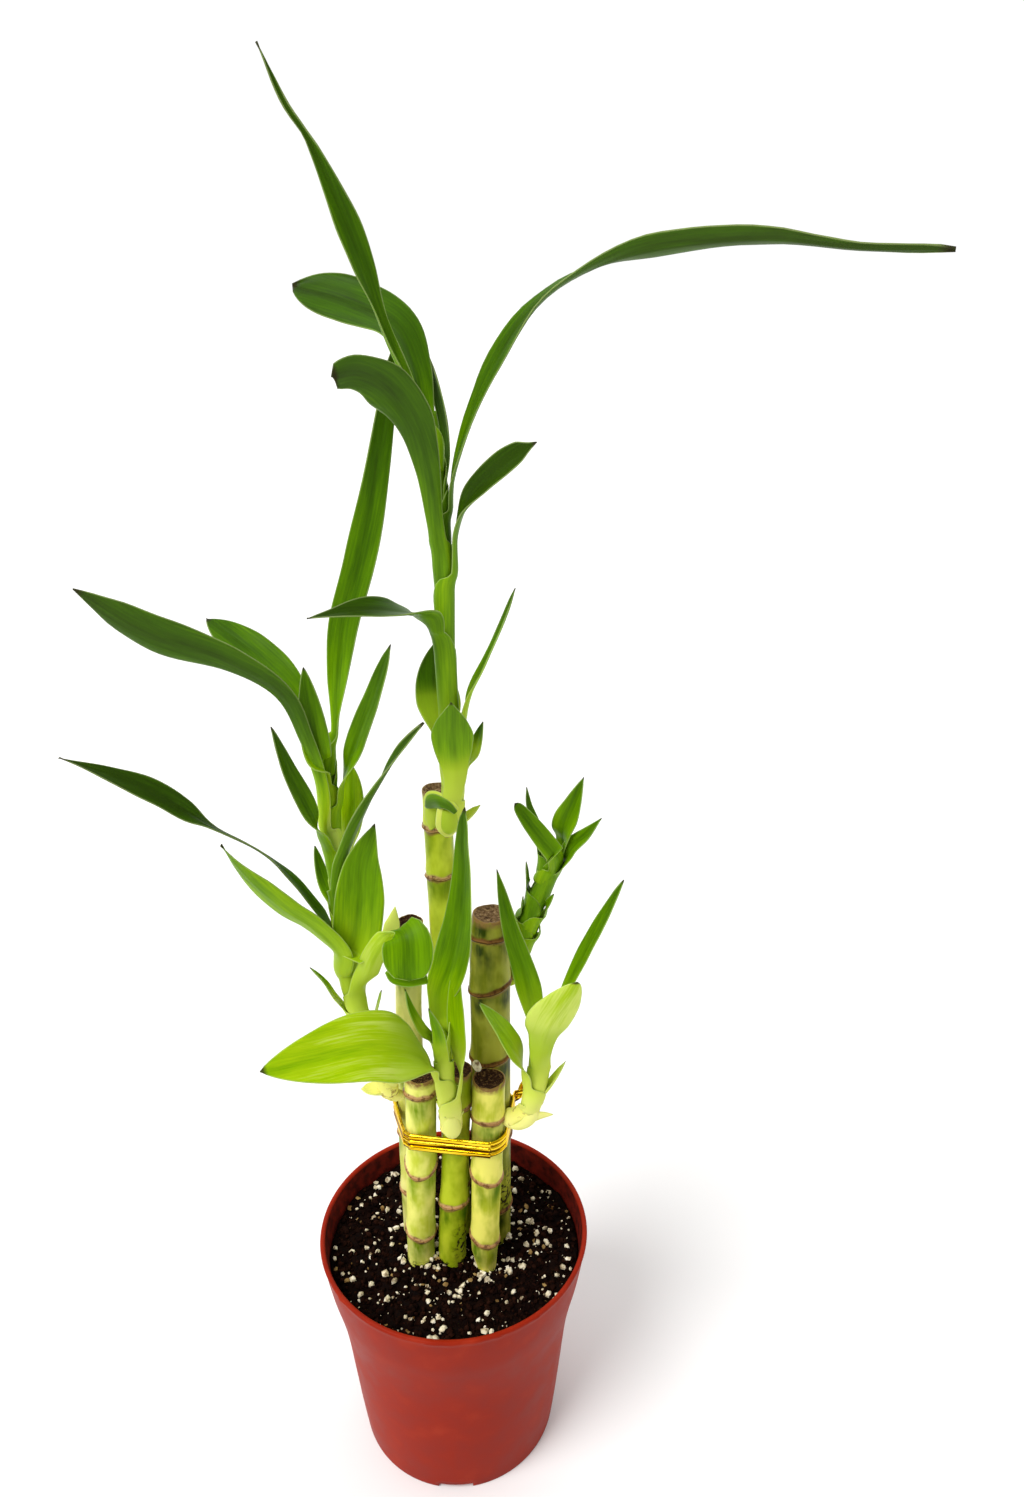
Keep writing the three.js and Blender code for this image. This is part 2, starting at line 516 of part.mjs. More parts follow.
// Where a string pulled round all the canes runs at an angle, at the height of the tie.
function aroundCanes(angle, clearance) {
  const direction = new THREE.Vector3(Math.cos(angle), Math.sin(angle), 0);
  let furthest = null;
  for (const cane of CANES) {
    const { centre, radius } = alongCane(cane, TIE.height + TIE.pitch);
    const point = centre.clone().addScaledVector(direction, radius + clearance);
    if (!furthest || point.dot(direction) > furthest.dot(direction)) furthest = point;
  }
  return furthest;
}

function buildTie() {
  const { wire, pitch, turns, height, startAngle, tailLength } = TIE;
  const stepsPerTurn = 18;
  const clearance = wire / 2 + GAP + 0.25;
  const start = radians(startAngle);
  const winding = [];
  for (let i = 0; i <= turns * stepsPerTurn; i++) {
    const angle = start + (2 * Math.PI * i) / stepsPerTurn;
    const point = aroundCanes(angle, clearance);
    point.z = height + (pitch * i) / stepsPerTurn;
    winding.push(point);
  }
  // Both ends leave the winding side by side and twist round each other, outwards and up.
  const out = new THREE.Vector3(Math.cos(start), Math.sin(start), 0.7).normalize();
  const across = new THREE.Vector3(-Math.sin(start), Math.cos(start), 0);
  const third = out.clone().cross(across);
  const middle = winding[0].clone().add(winding[winding.length - 1]).multiplyScalar(0.5)
    .addScaledVector(out, 2.5);
  const tail = (phase) => {
    const points = [];
    for (let i = 0; i <= 8; i++) {
      const turn = phase + (1.5 * Math.PI * i) / 8;
      points.push(middle.clone()
        .addScaledVector(out, (tailLength * i) / 8)
        .addScaledVector(across, 0.62 * wire * Math.cos(turn))
        .addScaledVector(third, 0.62 * wire * Math.sin(turn)));
    }
    return points;
  };
  const path = [...tail(Math.PI * 1.5).reverse(), ...winding.slice(1, -1), ...tail(Math.PI * 0.5)];
  return barAlong(path, path.map(() => wire / 2), 6);
}

// ---------- shoots and leaves ----------

for (const shoot of Object.values(SHOOTS)) {
  shoot.curve = smoothPath(shoot.path, SHOOT_STEPS);
}

function shootRadius(shoot, share) {
  const [root, middle, top] = shoot.radius;
  return share < 0.5 ? mix(root, middle, 2 * share) : mix(middle, top, 2 * share - 1);
}

// Centre, direction and radius of a shoot at a height, or of its line carried on past its top.
function alongShoot(shoot, z) {
  const { curve } = shoot;
  const above = curve.findIndex((p) => p.z >= z);
  const next = above < 0 ? curve.length - 1 : Math.max(1, above);
  const share = (z - curve[next - 1].z) / (curve[next].z - curve[next - 1].z);
  return {
    centre: curve[next - 1].clone().lerp(curve[next], share),
    tangent: curve[next].clone().sub(curve[next - 1]).normalize(),
    radius: shootRadius(shoot, (next - 1 + share) / (curve.length - 1)),
  };
}

function buildShoot(shoot) {
  const radii = shoot.curve.map((_, i) => shootRadius(shoot, i / SHOOT_STEPS));
  radii[0] *= 0.75;
  radii[SHOOT_STEPS] *= 0.6;
  return barAlong(shoot.curve, radii, SHOOT_SIDES);
}

// A thin blade along a spine. Its section at each station is an arc of the given half width and
// half angle, open towards the given normal, with the same triangles on both of its faces.
function bladeAlong({ spine, tangents, normals, halfWidths, halfAngles, waves, segments }) {
  const positions = [];
  const row = 2 * (segments + 1);
  spine.forEach((point, i) => {
    const normal = squareTo(tangents[i], normals[i]);
    const across = tangents[i].clone().cross(normal);
    const radius = halfWidths[i] / halfAngles[i];
    for (let k = 0; k <= segments; k++) {
      const v = (2 * k) / segments - 1;
      const angle = v * halfAngles[i];
      const outward = normal.clone().multiplyScalar(Math.cos(angle)).addScaledVector(across, -Math.sin(angle));
      const middle = point.clone()
        .addScaledVector(across, radius * Math.sin(angle))
        .addScaledVector(normal, radius * (1 - Math.cos(angle)) + waves[i] * v * Math.abs(v));
      positions.push(middle.clone().addScaledVector(outward, -LEAF_THICKNESS / 2));
      positions.push(middle.clone().addScaledVector(outward, LEAF_THICKNESS / 2));
    }
  });
  const under = (i, k) => i * row + 2 * k;
  const upper = (i, k) => i * row + 2 * k + 1;
  const indices = [];
  const quad = (a, b, c, d) => indices.push(a, b, c, a, c, d);
  const last = spine.length - 1;
  for (let i = 0; i < last; i++) {
    for (let k = 0; k < segments; k++) {
      quad(upper(i, k), upper(i, k + 1), upper(i + 1, k + 1), upper(i + 1, k));
      indices.push(under(i, k), under(i + 1, k + 1), under(i, k + 1));
      indices.push(under(i, k), under(i + 1, k), under(i + 1, k + 1));
    }
    quad(under(i, 0), upper(i, 0), upper(i + 1, 0), under(i + 1, 0));
    quad(under(i, segments), under(i + 1, segments), upper(i + 1, segments), upper(i, segments));
  }
  for (let k = 0; k < segments; k++) {
    quad(under(0, k), under(0, k + 1), upper(0, k + 1), upper(0, k));
    quad(under(last, k), upper(last, k), upper(last, k + 1), under(last, k + 1));
  }
  return indexedGeometry(positions, indices);
}

const CLASP_ANGLE = 1.7; // how far round its shoot a leaf's base reaches, each way, in radians
const SHOULDER_RISE = 3.5; // how far above its clasp a leaf is free of the next leaf's base
const SHOULDER_OUT = 1.3; // and how much further out it is there

// A point of a leaf's spine that lies against its shoot, at a height and on the leaf's own side.
function seatOn(shoot, leaf, z, further) {
  const side = new THREE.Vector3(Math.cos(radians(leaf.side)), Math.sin(radians(leaf.side)), 0);
  const { centre, tangent, radius } = alongShoot(shoot, z);
  const away = squareTo(tangent, side);
  const distance = (radius + GAP) / Math.cos(CLASP_ANGLE / LEAF_SEGMENTS) + LEAF_THICKNESS / 2 + further;
  return { point: centre.addScaledVector(away, distance), inward: away.negate(), tangent, distance };
}

function buildLeaf(shoot, leaf) {
  const seats = [
    seatOn(shoot, leaf, leaf.clasp[0], 0),
    seatOn(shoot, leaf, leaf.clasp[1], 0),
    seatOn(shoot, leaf, leaf.clasp[1] + SHOULDER_RISE, SHOULDER_OUT),
  ];
  const points = [...seats.map((seat) => seat.point), ...leaf.points.map(vector)];
  const curve = new THREE.CatmullRomCurve3(points, false, "catmullrom", 0.5);
  const lengths = curve.getLengths(20 * (points.length - 1));
  const shareAt = (i) => lengths[20 * i] / lengths[lengths.length - 1];
  const clasp = shareAt(1);
  const shoulder = shareAt(2);
  const stations = leaf.small ? SMALL_LEAF_STATIONS : LEAF_STATIONS;
  const shares = [0, clasp];
  for (let i = 2; i < stations; i++) {
    shares.push(mix(shoulder, 1, (i - 2) / (stations - 3)));
  }
  const spine = shares.map((t) => curve.getPointAt(t));
  const tangents = tangentsOf(spine);
  tangents[0] = seats[0].tangent;
  tangents[1] = seats[1].tangent;

  const half = leaf.width / 2;
  const shoulderHalf = half * leaf.neck;
  const bend = leaf.bend ?? 0.4;
  const angleKeys = [[0, CLASP_ANGLE], [clasp, 1.5], [shoulder, shoulderHalf / seats[2].distance],
    [leaf.widest, bend], [1, bend]];
  const waist = leaf.waist ? [[leaf.waist[0], half * leaf.waist[1]]] : [];
  const widthKeys = [[0, CLASP_ANGLE * seats[0].distance], [clasp, 1.5 * seats[1].distance],
    [shoulder, shoulderHalf], ...waist, [leaf.widest, half]];
  const halfWidthAt = (t) => {
    if (t <= leaf.widest) return eased(widthKeys, t);
    const u = (t - leaf.widest) / (1 - leaf.widest);
    return Math.max(0.45, half * (1 - u ** (leaf.blunt ?? 1.8)) ** 0.8);
  };
  const faces = [
    [0, seats[0].inward],
    [clasp, seats[1].inward],
    [shoulder, seats[2].inward],
    ...leaf.face.map(([t, x, y, z]) => [t, new THREE.Vector3(x, y, z).normalize()]),
  ];
  const faceAt = (t) => {
    const next = Math.max(1, faces.findIndex(([at]) => at >= t - 1e-9));
    const [t0, n0] = faces[next - 1];
    const [t1, n1] = faces[next];
    return n0.clone().lerp(n1, THREE.MathUtils.smoothstep(t, t0, t1));
  };
  const waveAt = (t) =>
    (leaf.wave ?? 0) * Math.sin(9 * t + leaf.side) * THREE.MathUtils.smoothstep(t, shoulder, leaf.widest);
  return bladeAlong({
    spine,
    tangents,
    normals: shares.map(faceAt),
    halfWidths: shares.map(halfWidthAt),
    halfAngles: shares.map((t) => eased(angleKeys, t)),
    waves: shares.map(waveAt),
    segments: LEAF_SEGMENTS,
  });
}

// A short leaf whose base is sunk in its shoot. lean is how much of its way out it makes early.
function buildFusedLeaf(shoot, { root, side, width, reach, rise, lean, face }) {
  const out = new THREE.Vector3(Math.cos(radians(side)), Math.sin(radians(side)), 0);
  const base = alongShoot(shoot, root);
  const place = (share) => base.centre.clone()
    .addScaledVector(out, mix(0.6 * base.radius, reach, share ** (1.6 - lean)))
    .addScaledVector(base.tangent, 0.25 * rise * share)
    .add(new THREE.Vector3(0, 0, 0.75 * rise * share));
  const spine = [0, 0.3, 0.65, 1].map(place);
  const inward = out.clone().negate();
  inward.z = 0.5;
  const looks = face ? vector(face) : inward;
  return bladeAlong({
    spine,
    tangents: tangentsOf(spine),
    normals: [inward, inward.clone().lerp(looks, 0.5), looks, looks],
    halfWidths: [0.7, 1, 0.8, 0.2].map((share) => Math.max(0.45, (share * width) / 2)),
    halfAngles: [1.1, 0.9, 0.7, 0.6],
    waves: spine.map(() => 0),
    segments: 2,
  });
}

function buildLeafyShoot(name) {
  const shoot = SHOOTS[name];
  const parts = FUSED_LEAVES[name].map((leaf) => toManifold(buildFusedLeaf(shoot, leaf)));
  return fromManifold(parts.reduce((whole, part) => whole.add(part), toManifold(buildShoot(shoot))));
}

// ---------- the plant ----------

const plant = new THREE.Group();

function addPiece(name, geometry, material) {
  const mesh = new THREE.Mesh(geometry, material);
  mesh.name = name;
  plant.add(mesh);
}

addPiece("pot", buildPot(), MATERIALS.pot);
addPiece("soil", buildSoil(CANES.map(caneHole)), MATERIALS.soil);
for (const cane of CANES) addPiece(cane.name, buildCane(cane), MATERIALS.cane);
addPiece("tie", buildTie(), MATERIALS.tie);
for (const name of Object.keys(SHOOTS)) {
  addPiece(`shoot_${name}`, buildLeafyShoot(name), MATERIALS.shoot);
}
for (const [name, leaves] of Object.entries(LEAVES)) {
  leaves.forEach((leaf, i) => {
    const number = String(i + 1).padStart(2, "0");
    addPiece(`leaf_${name}_${number}`, buildLeaf(SHOOTS[name], leaf), MATERIALS[LEAF_FINISH[name]]);
  });
}

export default plant;
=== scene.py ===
import math
import random

import bmesh
import bpy
import numpy as np
from mathutils import Matrix, Vector, noise


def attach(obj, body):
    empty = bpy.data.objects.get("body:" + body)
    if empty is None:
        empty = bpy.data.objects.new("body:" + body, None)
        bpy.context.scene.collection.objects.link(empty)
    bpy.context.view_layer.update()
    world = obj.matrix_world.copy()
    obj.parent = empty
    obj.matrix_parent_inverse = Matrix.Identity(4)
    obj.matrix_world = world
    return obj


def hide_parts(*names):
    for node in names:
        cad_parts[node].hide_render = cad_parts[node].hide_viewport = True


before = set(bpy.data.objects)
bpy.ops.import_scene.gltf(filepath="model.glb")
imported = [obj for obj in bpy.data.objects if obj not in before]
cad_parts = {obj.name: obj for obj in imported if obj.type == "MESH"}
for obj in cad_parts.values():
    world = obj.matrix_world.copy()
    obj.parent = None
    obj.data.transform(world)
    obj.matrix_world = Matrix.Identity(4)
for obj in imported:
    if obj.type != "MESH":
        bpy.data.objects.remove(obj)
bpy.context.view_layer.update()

# ---------------------------------------------------------------------------------------------
# The pot: one injection-moulded polypropylene nursery pot. A taller, upright band runs under
# its rim, the body tapers to the foot, and four shallow notches in the foot let water out.
# It stands free, and the soil fills it almost to the rim.

MM = 0.001


def srgb(hex_colour):
    """Linear colour of an sRGB hex value."""
    parts = [int(hex_colour[i:i + 2], 16) / 255 for i in (1, 3, 5)]
    return (*[c / 12.92 if c <= 0.04045 else ((c + 0.055) / 1.055) ** 2.4 for c in parts], 1.0)


def feed(tree, node, inputs):
    """Sets or links a node's inputs, by name or number. A string is an sRGB colour."""
    for socket, value in inputs.items():
        if isinstance(value, bpy.types.NodeSocket):
            tree.links.new(value, node.inputs[socket])
        else:
            node.inputs[socket].default_value = srgb(value) if isinstance(value, str) else value


def add_node(tree, kind, inputs=None, out=0, stops=(), **settings):
    """Adds a node with its settings, inputs and ramp stops, and returns one of its outputs.

    By number, a Map Range has its value in 0, its From span in 1 and 2 and its To span in 3 and 4,
    and a Mix of colours has its share in 0 and the colours under and over in 6 and 7.
    """
    node = tree.nodes.new("ShaderNode" + kind)
    for name, value in settings.items():
        setattr(node, name, value)
    feed(tree, node, inputs or {})
    for i, (position, colour) in enumerate(stops):
        element = node.color_ramp.elements[i] if i < 2 else node.color_ramp.elements.new(position)
        element.position = position
        element.color = srgb(colour)
    return node.outputs[out]


def start_material(name):
    """A new material, its node tree, and the Principled shader that is on its output."""
    material = bpy.data.materials.new(name)
    material.use_nodes = True
    tree = material.node_tree
    return material, tree, tree.nodes["Principled BSDF"]


def mottled_material(name, blotch, detail, stops, roughness, specular, fineness=0.5, relief=None):
    """A dull material in blotches of a size in mm. relief is a bump's strength and depth in mm."""
    material, tree, shader = start_material(name)
    place = add_node(tree, "TexCoord", out="Object")
    blotches = add_node(tree, "TexNoise", {
        "Vector": place, "Scale": 1 / (blotch * MM), "Detail": detail, "Roughness": fineness,
    })
    colour = add_node(tree, "ValToRGB", {0: blotches}, stops=stops)
    feed(tree, shader, {"Base Color": colour, "Roughness": roughness, "Specular IOR Level": specular})
    if relief:
        strength, depth = relief
        bump = add_node(tree, "Bump", {"Height": blotches, "Strength": strength, "Distance": depth * MM})
        feed(tree, shader, {"Normal": bump})
    return material


def add_object(name, data):
    """An object of a mesh, a light or a camera, in the scene."""
    thing = bpy.data.objects.new(name, data)
    bpy.context.scene.collection.objects.link(thing)
    return thing


def make_piece(name, bm, materials, nodes=()):
    """Turns a bmesh in millimetres into a smooth piece of the plant, in metres, at the origin."""
    bmesh.ops.scale(bm, vec=(MM, MM, MM), verts=bm.verts)
    mesh = bpy.data.meshes.new(name)
    bm.to_mesh(mesh)
    bm.free()
    for material in materials:
        mesh.materials.append(material)
    mesh.shade_smooth()
    piece = add_object(name, mesh)
    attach(piece, "root")
    if nodes:
        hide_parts(*nodes)
    return piece


POT_STEPS = 144
NOTCH_INNER = 30.5
NOTCH_TOP = 2.0
NOTCH_HALF_WIDTH = 6.2
POT_FLOOR = 3.2
LIP_FOOT = 83  # where the lip starts
LIP_EDGE = 44.4  # how far out the flash lies
FLASH_OUT = 0.011  # how far the flash stands out, as a share of the radius
FLASH_UP = 0.35
SEAM = 1e-4  # vertices closer than this, in mm, are one


def spline(points, steps=24):
    """Points of a smooth curve through given points."""
    p = np.array([tuple(q) for q in points], float)
    p = np.vstack([2 * p[0] - p[1], p, 2 * p[-1] - p[-2]])
    t = np.linspace(0, 1, steps, endpoint=False)[:, None]
    parts = []
    for i in range(1, len(p) - 2):
        m1, m2 = (p[i + 1] - p[i - 1]) / 2, (p[i + 2] - p[i]) / 2
        parts.append(
            (2 * t**3 - 3 * t**2 + 1) * p[i] + (t**3 - 2 * t**2 + t) * m1
            + (3 * t**2 - 2 * t**3) * p[i + 1] + (t**3 - t**2) * m2
        )
    return np.vstack([*parts, p[-2:-1]])


def spin_profile(profile, steps):
    """A solid of revolution from (radius, height) pairs."""
    bm = bmesh.new()
    points = [bm.verts.new((r, 0, z)) for r, z in profile]
    edges = [bm.edges.new(pair) for pair in zip(points, points[1:])]
    bmesh.ops.spin(
        bm, geom=points + edges, cent=(0, 0, 0), axis=(0, 0, 1), dvec=(0, 0, 0), angle=2 * math.pi,
        steps=steps, use_merge=True, use_duplicate=False,
    )
    bmesh.ops.remove_doubles(bm, verts=bm.verts, dist=SEAM)
    return bm


foot_profile = [(0, 0), (20, 0), (NOTCH_INNER, 0), (33.5, 0), (33.9, 0.15), (34.0, 0.6)]
side_points = [
    (34.19, NOTCH_TOP), (35.5, 14), (37.0, 30), (38.4, 45), (39.6, 54), (41.1, 62), (42.6, 69),
    (43.8, 76.5), (44.75, LIP_FOOT),
]
side_profile = [tuple(p) for p in spline(side_points, 6)]
lip_profile = [
    (45.0, 83.7), (45.12, 84.3), (45.0, 84.8), (44.6, 85.05), (44.1, 85.05), (43.65, 84.8), (43.45, 84.2),
]
wall_profile = [
    (42.6, 78), (41.1, 64), (39.9, 58.5), (38.2, 53), (36.9, 48), (36.2, 42), (34.0, 20), (32.7, 5),
    (32.4, 3.6), (31.6, POT_FLOOR), (0, POT_FLOOR),
]
bm = spin_profile([*foot_profile, *side_profile, *lip_profile, *wall_profile], POT_STEPS)


def cut_notch(bm, bearing):
    """Cuts one notch out of the foot's outer edge, at a bearing round the pot."""
    across = Vector((-math.sin(bearing), math.cos(bearing), 0))
    outwards = Vector((math.cos(bearing), math.sin(bearing), 0))

    def inside(place):
        """Whether a place lies in the notch's width, on the notch's side of the pot."""
        return abs(place.dot(across)) < NOTCH_HALF_WIDTH and place.dot(outwards) > 0

    doomed = [
        f for f in bm.faces
        if inside(f.calc_center_median())
        and f.calc_center_median().z < NOTCH_TOP - 0.2
        and f.calc_center_median().xy.length > NOTCH_INNER
    ]
    bmesh.ops.delete(bm, geom=doomed, context="FACES")
    rim = [e for e in bm.edges if e.is_boundary]
    inner = [e for e in rim if all(v.co.xy.length < NOTCH_INNER + 0.1 for v in e.verts)]
    outer = [e for e in rim if all(v.co.z > NOTCH_TOP - 0.1 for v in e.verts)]
    raised = bmesh.ops.extrude_edge_only(bm, edges=inner)["geom"]
    lifted = [g for g in raised if isinstance(g, bmesh.types.BMVert)]
    bmesh.ops.translate(bm, vec=(0, 0, NOTCH_TOP), verts=lifted)
    upper = [g for g in raised if isinstance(g, bmesh.types.BMEdge) and all(v in lifted for v in g.verts)]
    bmesh.ops.bridge_loops(bm, edges=upper + outer)
    bmesh.ops.holes_fill(bm, edges=[e for e in bm.edges if e.is_boundary], sides=0)


for quarter in range(4):
    cut_notch(bm, -math.pi / 2 + quarter * math.pi / 2)
# flash left on the lip by the mould, as (bearing, half width) in degrees
for bearing, spread in [(-96, 3.2), (-88.6, 3.4), (-79, 2.2), (-70.3, 1.2), (-52, 1.4), (-140, 1.6)]:
    for vertex in bm.verts:
        if vertex.co.z > LIP_FOOT + 0.2 and vertex.co.xy.length > LIP_EDGE:
            away = math.degrees(math.atan2(vertex.co.y, vertex.co.x)) - bearing
            vertex.co.xy *= 1 + FLASH_OUT * math.exp(-((away / spread) ** 2))
            vertex.co.z += FLASH_UP * math.exp(-((away / spread) ** 2))
bmesh.ops.recalc_face_normals(bm, faces=bm.faces)

# Moulded polypropylene: a warm brick red with a soft sheen. A fine orange-peel grain and faint
# rubs a few millimetres long break up the sheen, and it is a touch paler where it is rubbed.
pot_plastic, tree, shader = start_material("moulded terracotta polypropylene")
place = add_node(tree, "TexCoord", out="Object")
patches = add_node(tree, "TexNoise", {"Vector": place, "Scale": 1 / (9 * MM), "Detail": 4})
grain = add_node(tree, "TexNoise", {"Vector": place, "Scale": 1 / (0.7 * MM), "Detail": 2})
colour = add_node(
    tree, "ValToRGB", {0: patches},
    stops=[(0.3, "#881e0a"), (0.55, "#91220c"), (0.75, "#9c2d17")],
)
gloss = add_node(tree, "MapRange", {0: patches, 1: 0.35, 2: 0.7, 3: 0.4, 4: 0.52})
bump = add_node(tree, "Bump", {"Height": grain, "Strength": 0.25, "Distance": 0.05 * MM})
feed(tree, shader, {
    "Base Color": colour, "Roughness": gloss, "Normal": bump, "IOR": 1.49, "Specular IOR Level": 0.06,
})

# The same plastic inside the pot, dull and darker: painted shade on the inner wall below the lip.
shaded_inner_plastic = mottled_material(
    "polypropylene with painted shade inside", 3, 5, [(0.35, "#3a0c07"), (0.55, "#5e160d"), (0.75, "#741c10")], 0.7, 0.1,
)
# the inner wall below the lip takes the darker plastic, as painted shade
for face in bm.faces:
    centre = face.calc_center_median()
    faces_in = face.normal.dot(Vector((centre.x, centre.y, -1))) < 0
    if faces_in and POT_FLOOR - 0.1 < centre.z < LIP_FOOT:
        face.material_index = 1

make_piece("nursery_pot", bm, [pot_plastic, shaded_inner_plastic], ["pot"])

# ---------------------------------------------------------------------------------------------
# The soil: dark, moist potting mix of peat and fine bark, with white perlite all through it.
# It is one filling, heaped a little round the canes, with loose grains and chips on top.

CANES = {
    # axis points foot first, radius at each, then node rings as (height in front, slant, sag)
    "back_tall": (
        [(1.6, 5, 24), (0.9, 5, 113), (0.2, 5, 160), (-0.6, 5, 205), (-1, 5, 247)],
        [4.3, 4.3, 4.2, 4.1, 4.2],
        [(100, 0, 0), (128, 0.6, 0.5), (166, 0, 0.6), (192, 0.5, 0), (219.6, 0.3, -0.4), (235.5, 0.4, 0.3)],
    ),
    "back_right": (
        [(12.6, 4, 24), (12.9, 4, 110), (13.3, 4, 165), (13.4, 4, 190), (13.8, 4, 206)],
        [6.2, 6.4, 6.2, 6.2, 5.4],
        [(92, 0, 0), (121, 0.6, 0.5), (154, 1, 0.6), (181, 1.8, -0.4), (199.5, 0.3, -0.6)],
    ),
    "back_left": (
        [(-13.4, 4.5, 24), (-13.4, 4.5, 112), (-12.2, 4.5, 172), (-10.6, 4.5, 203)],
        [4.3, 4.3, 4.1, 4],
        [(98, 0, 0.4), (122, -0.5, 0), (150, 0, 0.5), (184, 0.4, 0)],
    ),
    "front_left": (
        [(-11.8, -6.5, 24), (-10.8, -6.5, 86), (-9.2, -6.5, 125), (-8.3, -6.5, 155)],
        [4.4, 4.6, 4.8, 4.9],
        [(89.7, -0.9, 1), (116.4, 0, 3.3), (149, 0.3, -0.4)],
    ),
    "front_right": (
        [(9.6, -11.6, 24), (11.2, -11, 77), (10.6, -10.9, 87), (12.1, -9.6, 130), (12.9, -9, 155)],
        [2.2, 2.9, 4.4, 5, 5],
        [(91.4, -1.3, 0.5), (117.2, -1, 0.8), (141.4, -0.2, -0.5)],
    ),
    "front_middle": (
        [(-1.6, -6.6, 24), (-0.3, -6.4, 86), (1.5, -6, 120), (3.5, -6, 156)],
        [4.5, 4.6, 4.3, 4.2],
        [(103.4, 0, -1), (143, 0, 0)],
    ),
}


def cane_at(cane, z):
    """Centre and radius of a cane at a height."""
    axis, radius, _ = CANES[cane]
    heights = [p[2] for p in axis]
    x, y = (float(np.interp(z, heights, [p[k] for p in axis])) for k in (0, 1))
    return Vector((x, y, z)), float(np.interp(z, heights, radius))


SOIL_LEVEL = 77.0
SOIL_STEPS = 200
cane_feet = [cane_at(cane, SOIL_LEVEL) for cane in CANES]


def soil_height(x, y):
    """Height of the soil's surface, with its lumps and the mounds at the canes."""
    z = SOIL_LEVEL + 0.55 * math.sin(0.31 * x + 0.6) * math.cos(0.27 * y)
    z += 0.33 * math.sin(0.63 * y + 0.4 * x)
    for centre, radius in cane_feet:
        gap = math.hypot(x - centre.x, y - centre.y) - radius
        z += 0.9 * math.exp(-max(gap, 0) / 2.6)
    z += 1.2 * noise.fractal(Vector((x, y, 3)) / 5.5, 0.6, 2.2, 4)
    z += 0.5 * noise.noise(Vector((x, y, 9)) / 1.3)
    return z


soil_profile = [
    (0, 3.5), (31.2, 3.5), (32.6, 8), (36.2, 46), (38.2, 54.5), (40.7, 62.5), (42.0, 75),
    *[(r, SOIL_LEVEL) for r in np.linspace(41.9, 0, 64)],
]
bm = spin_profile(soil_profile, SOIL_STEPS)
for vertex in bm.verts:
    if vertex.co.z > SOIL_LEVEL - 0.5:
        vertex.co.z = soil_height(vertex.co.x, vertex.co.y)
bmesh.ops.recalc_face_normals(bm, faces=bm.faces)

# Peat: nearly black and fibrous, with moist glints on crumbs a millimetre across.
peat, tree, shader = start_material("moist peat")
place = add_node(tree, "TexCoord", out="Object")
crumbs = add_node(
    tree, "TexNoise", {"Vector": place, "Scale": 1 / (1.6 * MM), "Detail": 6, "Roughness": 0.7},
)
colour = add_node(
    tree, "ValToRGB", {0: crumbs}, stops=[(0.36, "#060202"), (0.6, "#150905"), (0.76, "#2b190c")],
)
wet = add_node(tree, "MapRange", {0: crumbs, 1: 0.4, 2: 0.65, 3: 0.45, 4: 0.9})
bump = add_node(tree, "Bump", {"Height": crumbs, "Strength": 1.0, "Distance": 0.6 * MM})
feed(tree, shader, {"Base Color": colour, "Roughness": wet, "Normal": bump, "Specular IOR Level": 0.03})

make_piece("potting_soil", bm, [peat], ["soil"])


HANDFUL = 40  # grains made at a time, which keeps each operator's work small
STREWN_TO = 41  # how far from the middle grains lie


def pour(into, bm):
    """Adds one bmesh to another, and frees it."""
    scrap = bpy.data.meshes.new("scrap")
    bm.to_mesh(scrap)
    bm.free()
    into.from_mesh(scrap)
    bpy.data.meshes.remove(scrap)


def free_spot(draw, near_canes):
    """A random place on the soil that no cane stands in, now and then right beside one."""
    while True:
        reach = STREWN_TO * math.sqrt(draw.random())
        bearing = draw.uniform(0, 2 * math.pi)
        x, y = reach * math.cos(bearing), reach * math.sin(bearing)
        if draw.random() < near_canes:
            centre, radius = draw.choice(cane_feet)
            reach = radius + draw.expovariate(1 / 1.6)
            x, y = centre.x + reach * math.cos(bearing), centre.y + reach * math.sin(bearing)
        gap = min(math.hypot(x - centre.x, y - centre.y) - radius for centre, radius in cane_feet)
        if gap > 0.2 and math.hypot(x, y) < STREWN_TO:
            return x, y


def strew(name, count, sizes, flatness, materials, seed, sink=0.25, near_canes=0.0):
    """Strews irregular grains over the soil. sizes is (smallest, largest) across, in mm."""
    draw = random.Random(seed)
    bm = bmesh.new()
    for _ in range(count // HANDFUL):
        patch = bmesh.new()
        for _ in range(HANDFUL):
            x, y = free_spot(draw, near_canes)
            size = sizes[0] + (sizes[1] - sizes[0]) * draw.random() ** 2.2
            grain = bmesh.ops.create_icosphere(patch, subdivisions=1, radius=size / 2)["verts"]
            # each corner is pushed in or out by a share of its own
            for vertex in grain:
                vertex.co *= draw.uniform(0.72, 1.22)
            shape = Vector((1, draw.uniform(0.6, 1), draw.uniform(*flatness)))
            bmesh.ops.scale(patch, vec=shape, verts=grain)
            turn = Matrix.Rotation(draw.uniform(0, 6.28), 3, "Z")
            turn = turn @ Matrix.Rotation(draw.gauss(0, 0.35), 3, "X")
            bmesh.ops.rotate(patch, cent=(0, 0, 0), matrix=turn, verts=grain)
            z = soil_height(x, y) + size * shape.z * (0.5 - sink)
            bmesh.ops.translate(patch, vec=(x, y, z), verts=grain)
            kind = draw.randrange(len(materials))
            for face in {f for v in grain for f in v.link_faces}:
                face.material_index = kind
        pour(bm, patch)
    bmesh.ops.recalc_face_normals(bm, faces=bm.faces)
    piece = make_piece(name, bm, materials)
    piece.data.shade_flat()


# Perlite: puffed volcanic glass, chalky cream-white with a rough, dusty skin.
perlite = mottled_material(
    "perlite", 1.8, 5, [(0.33, "#7a6448"), (0.5, "#dccfae"), (0.7, "#f6efdc")], 0.95, 0.5,
    relief=(0.6, 0.2),
)
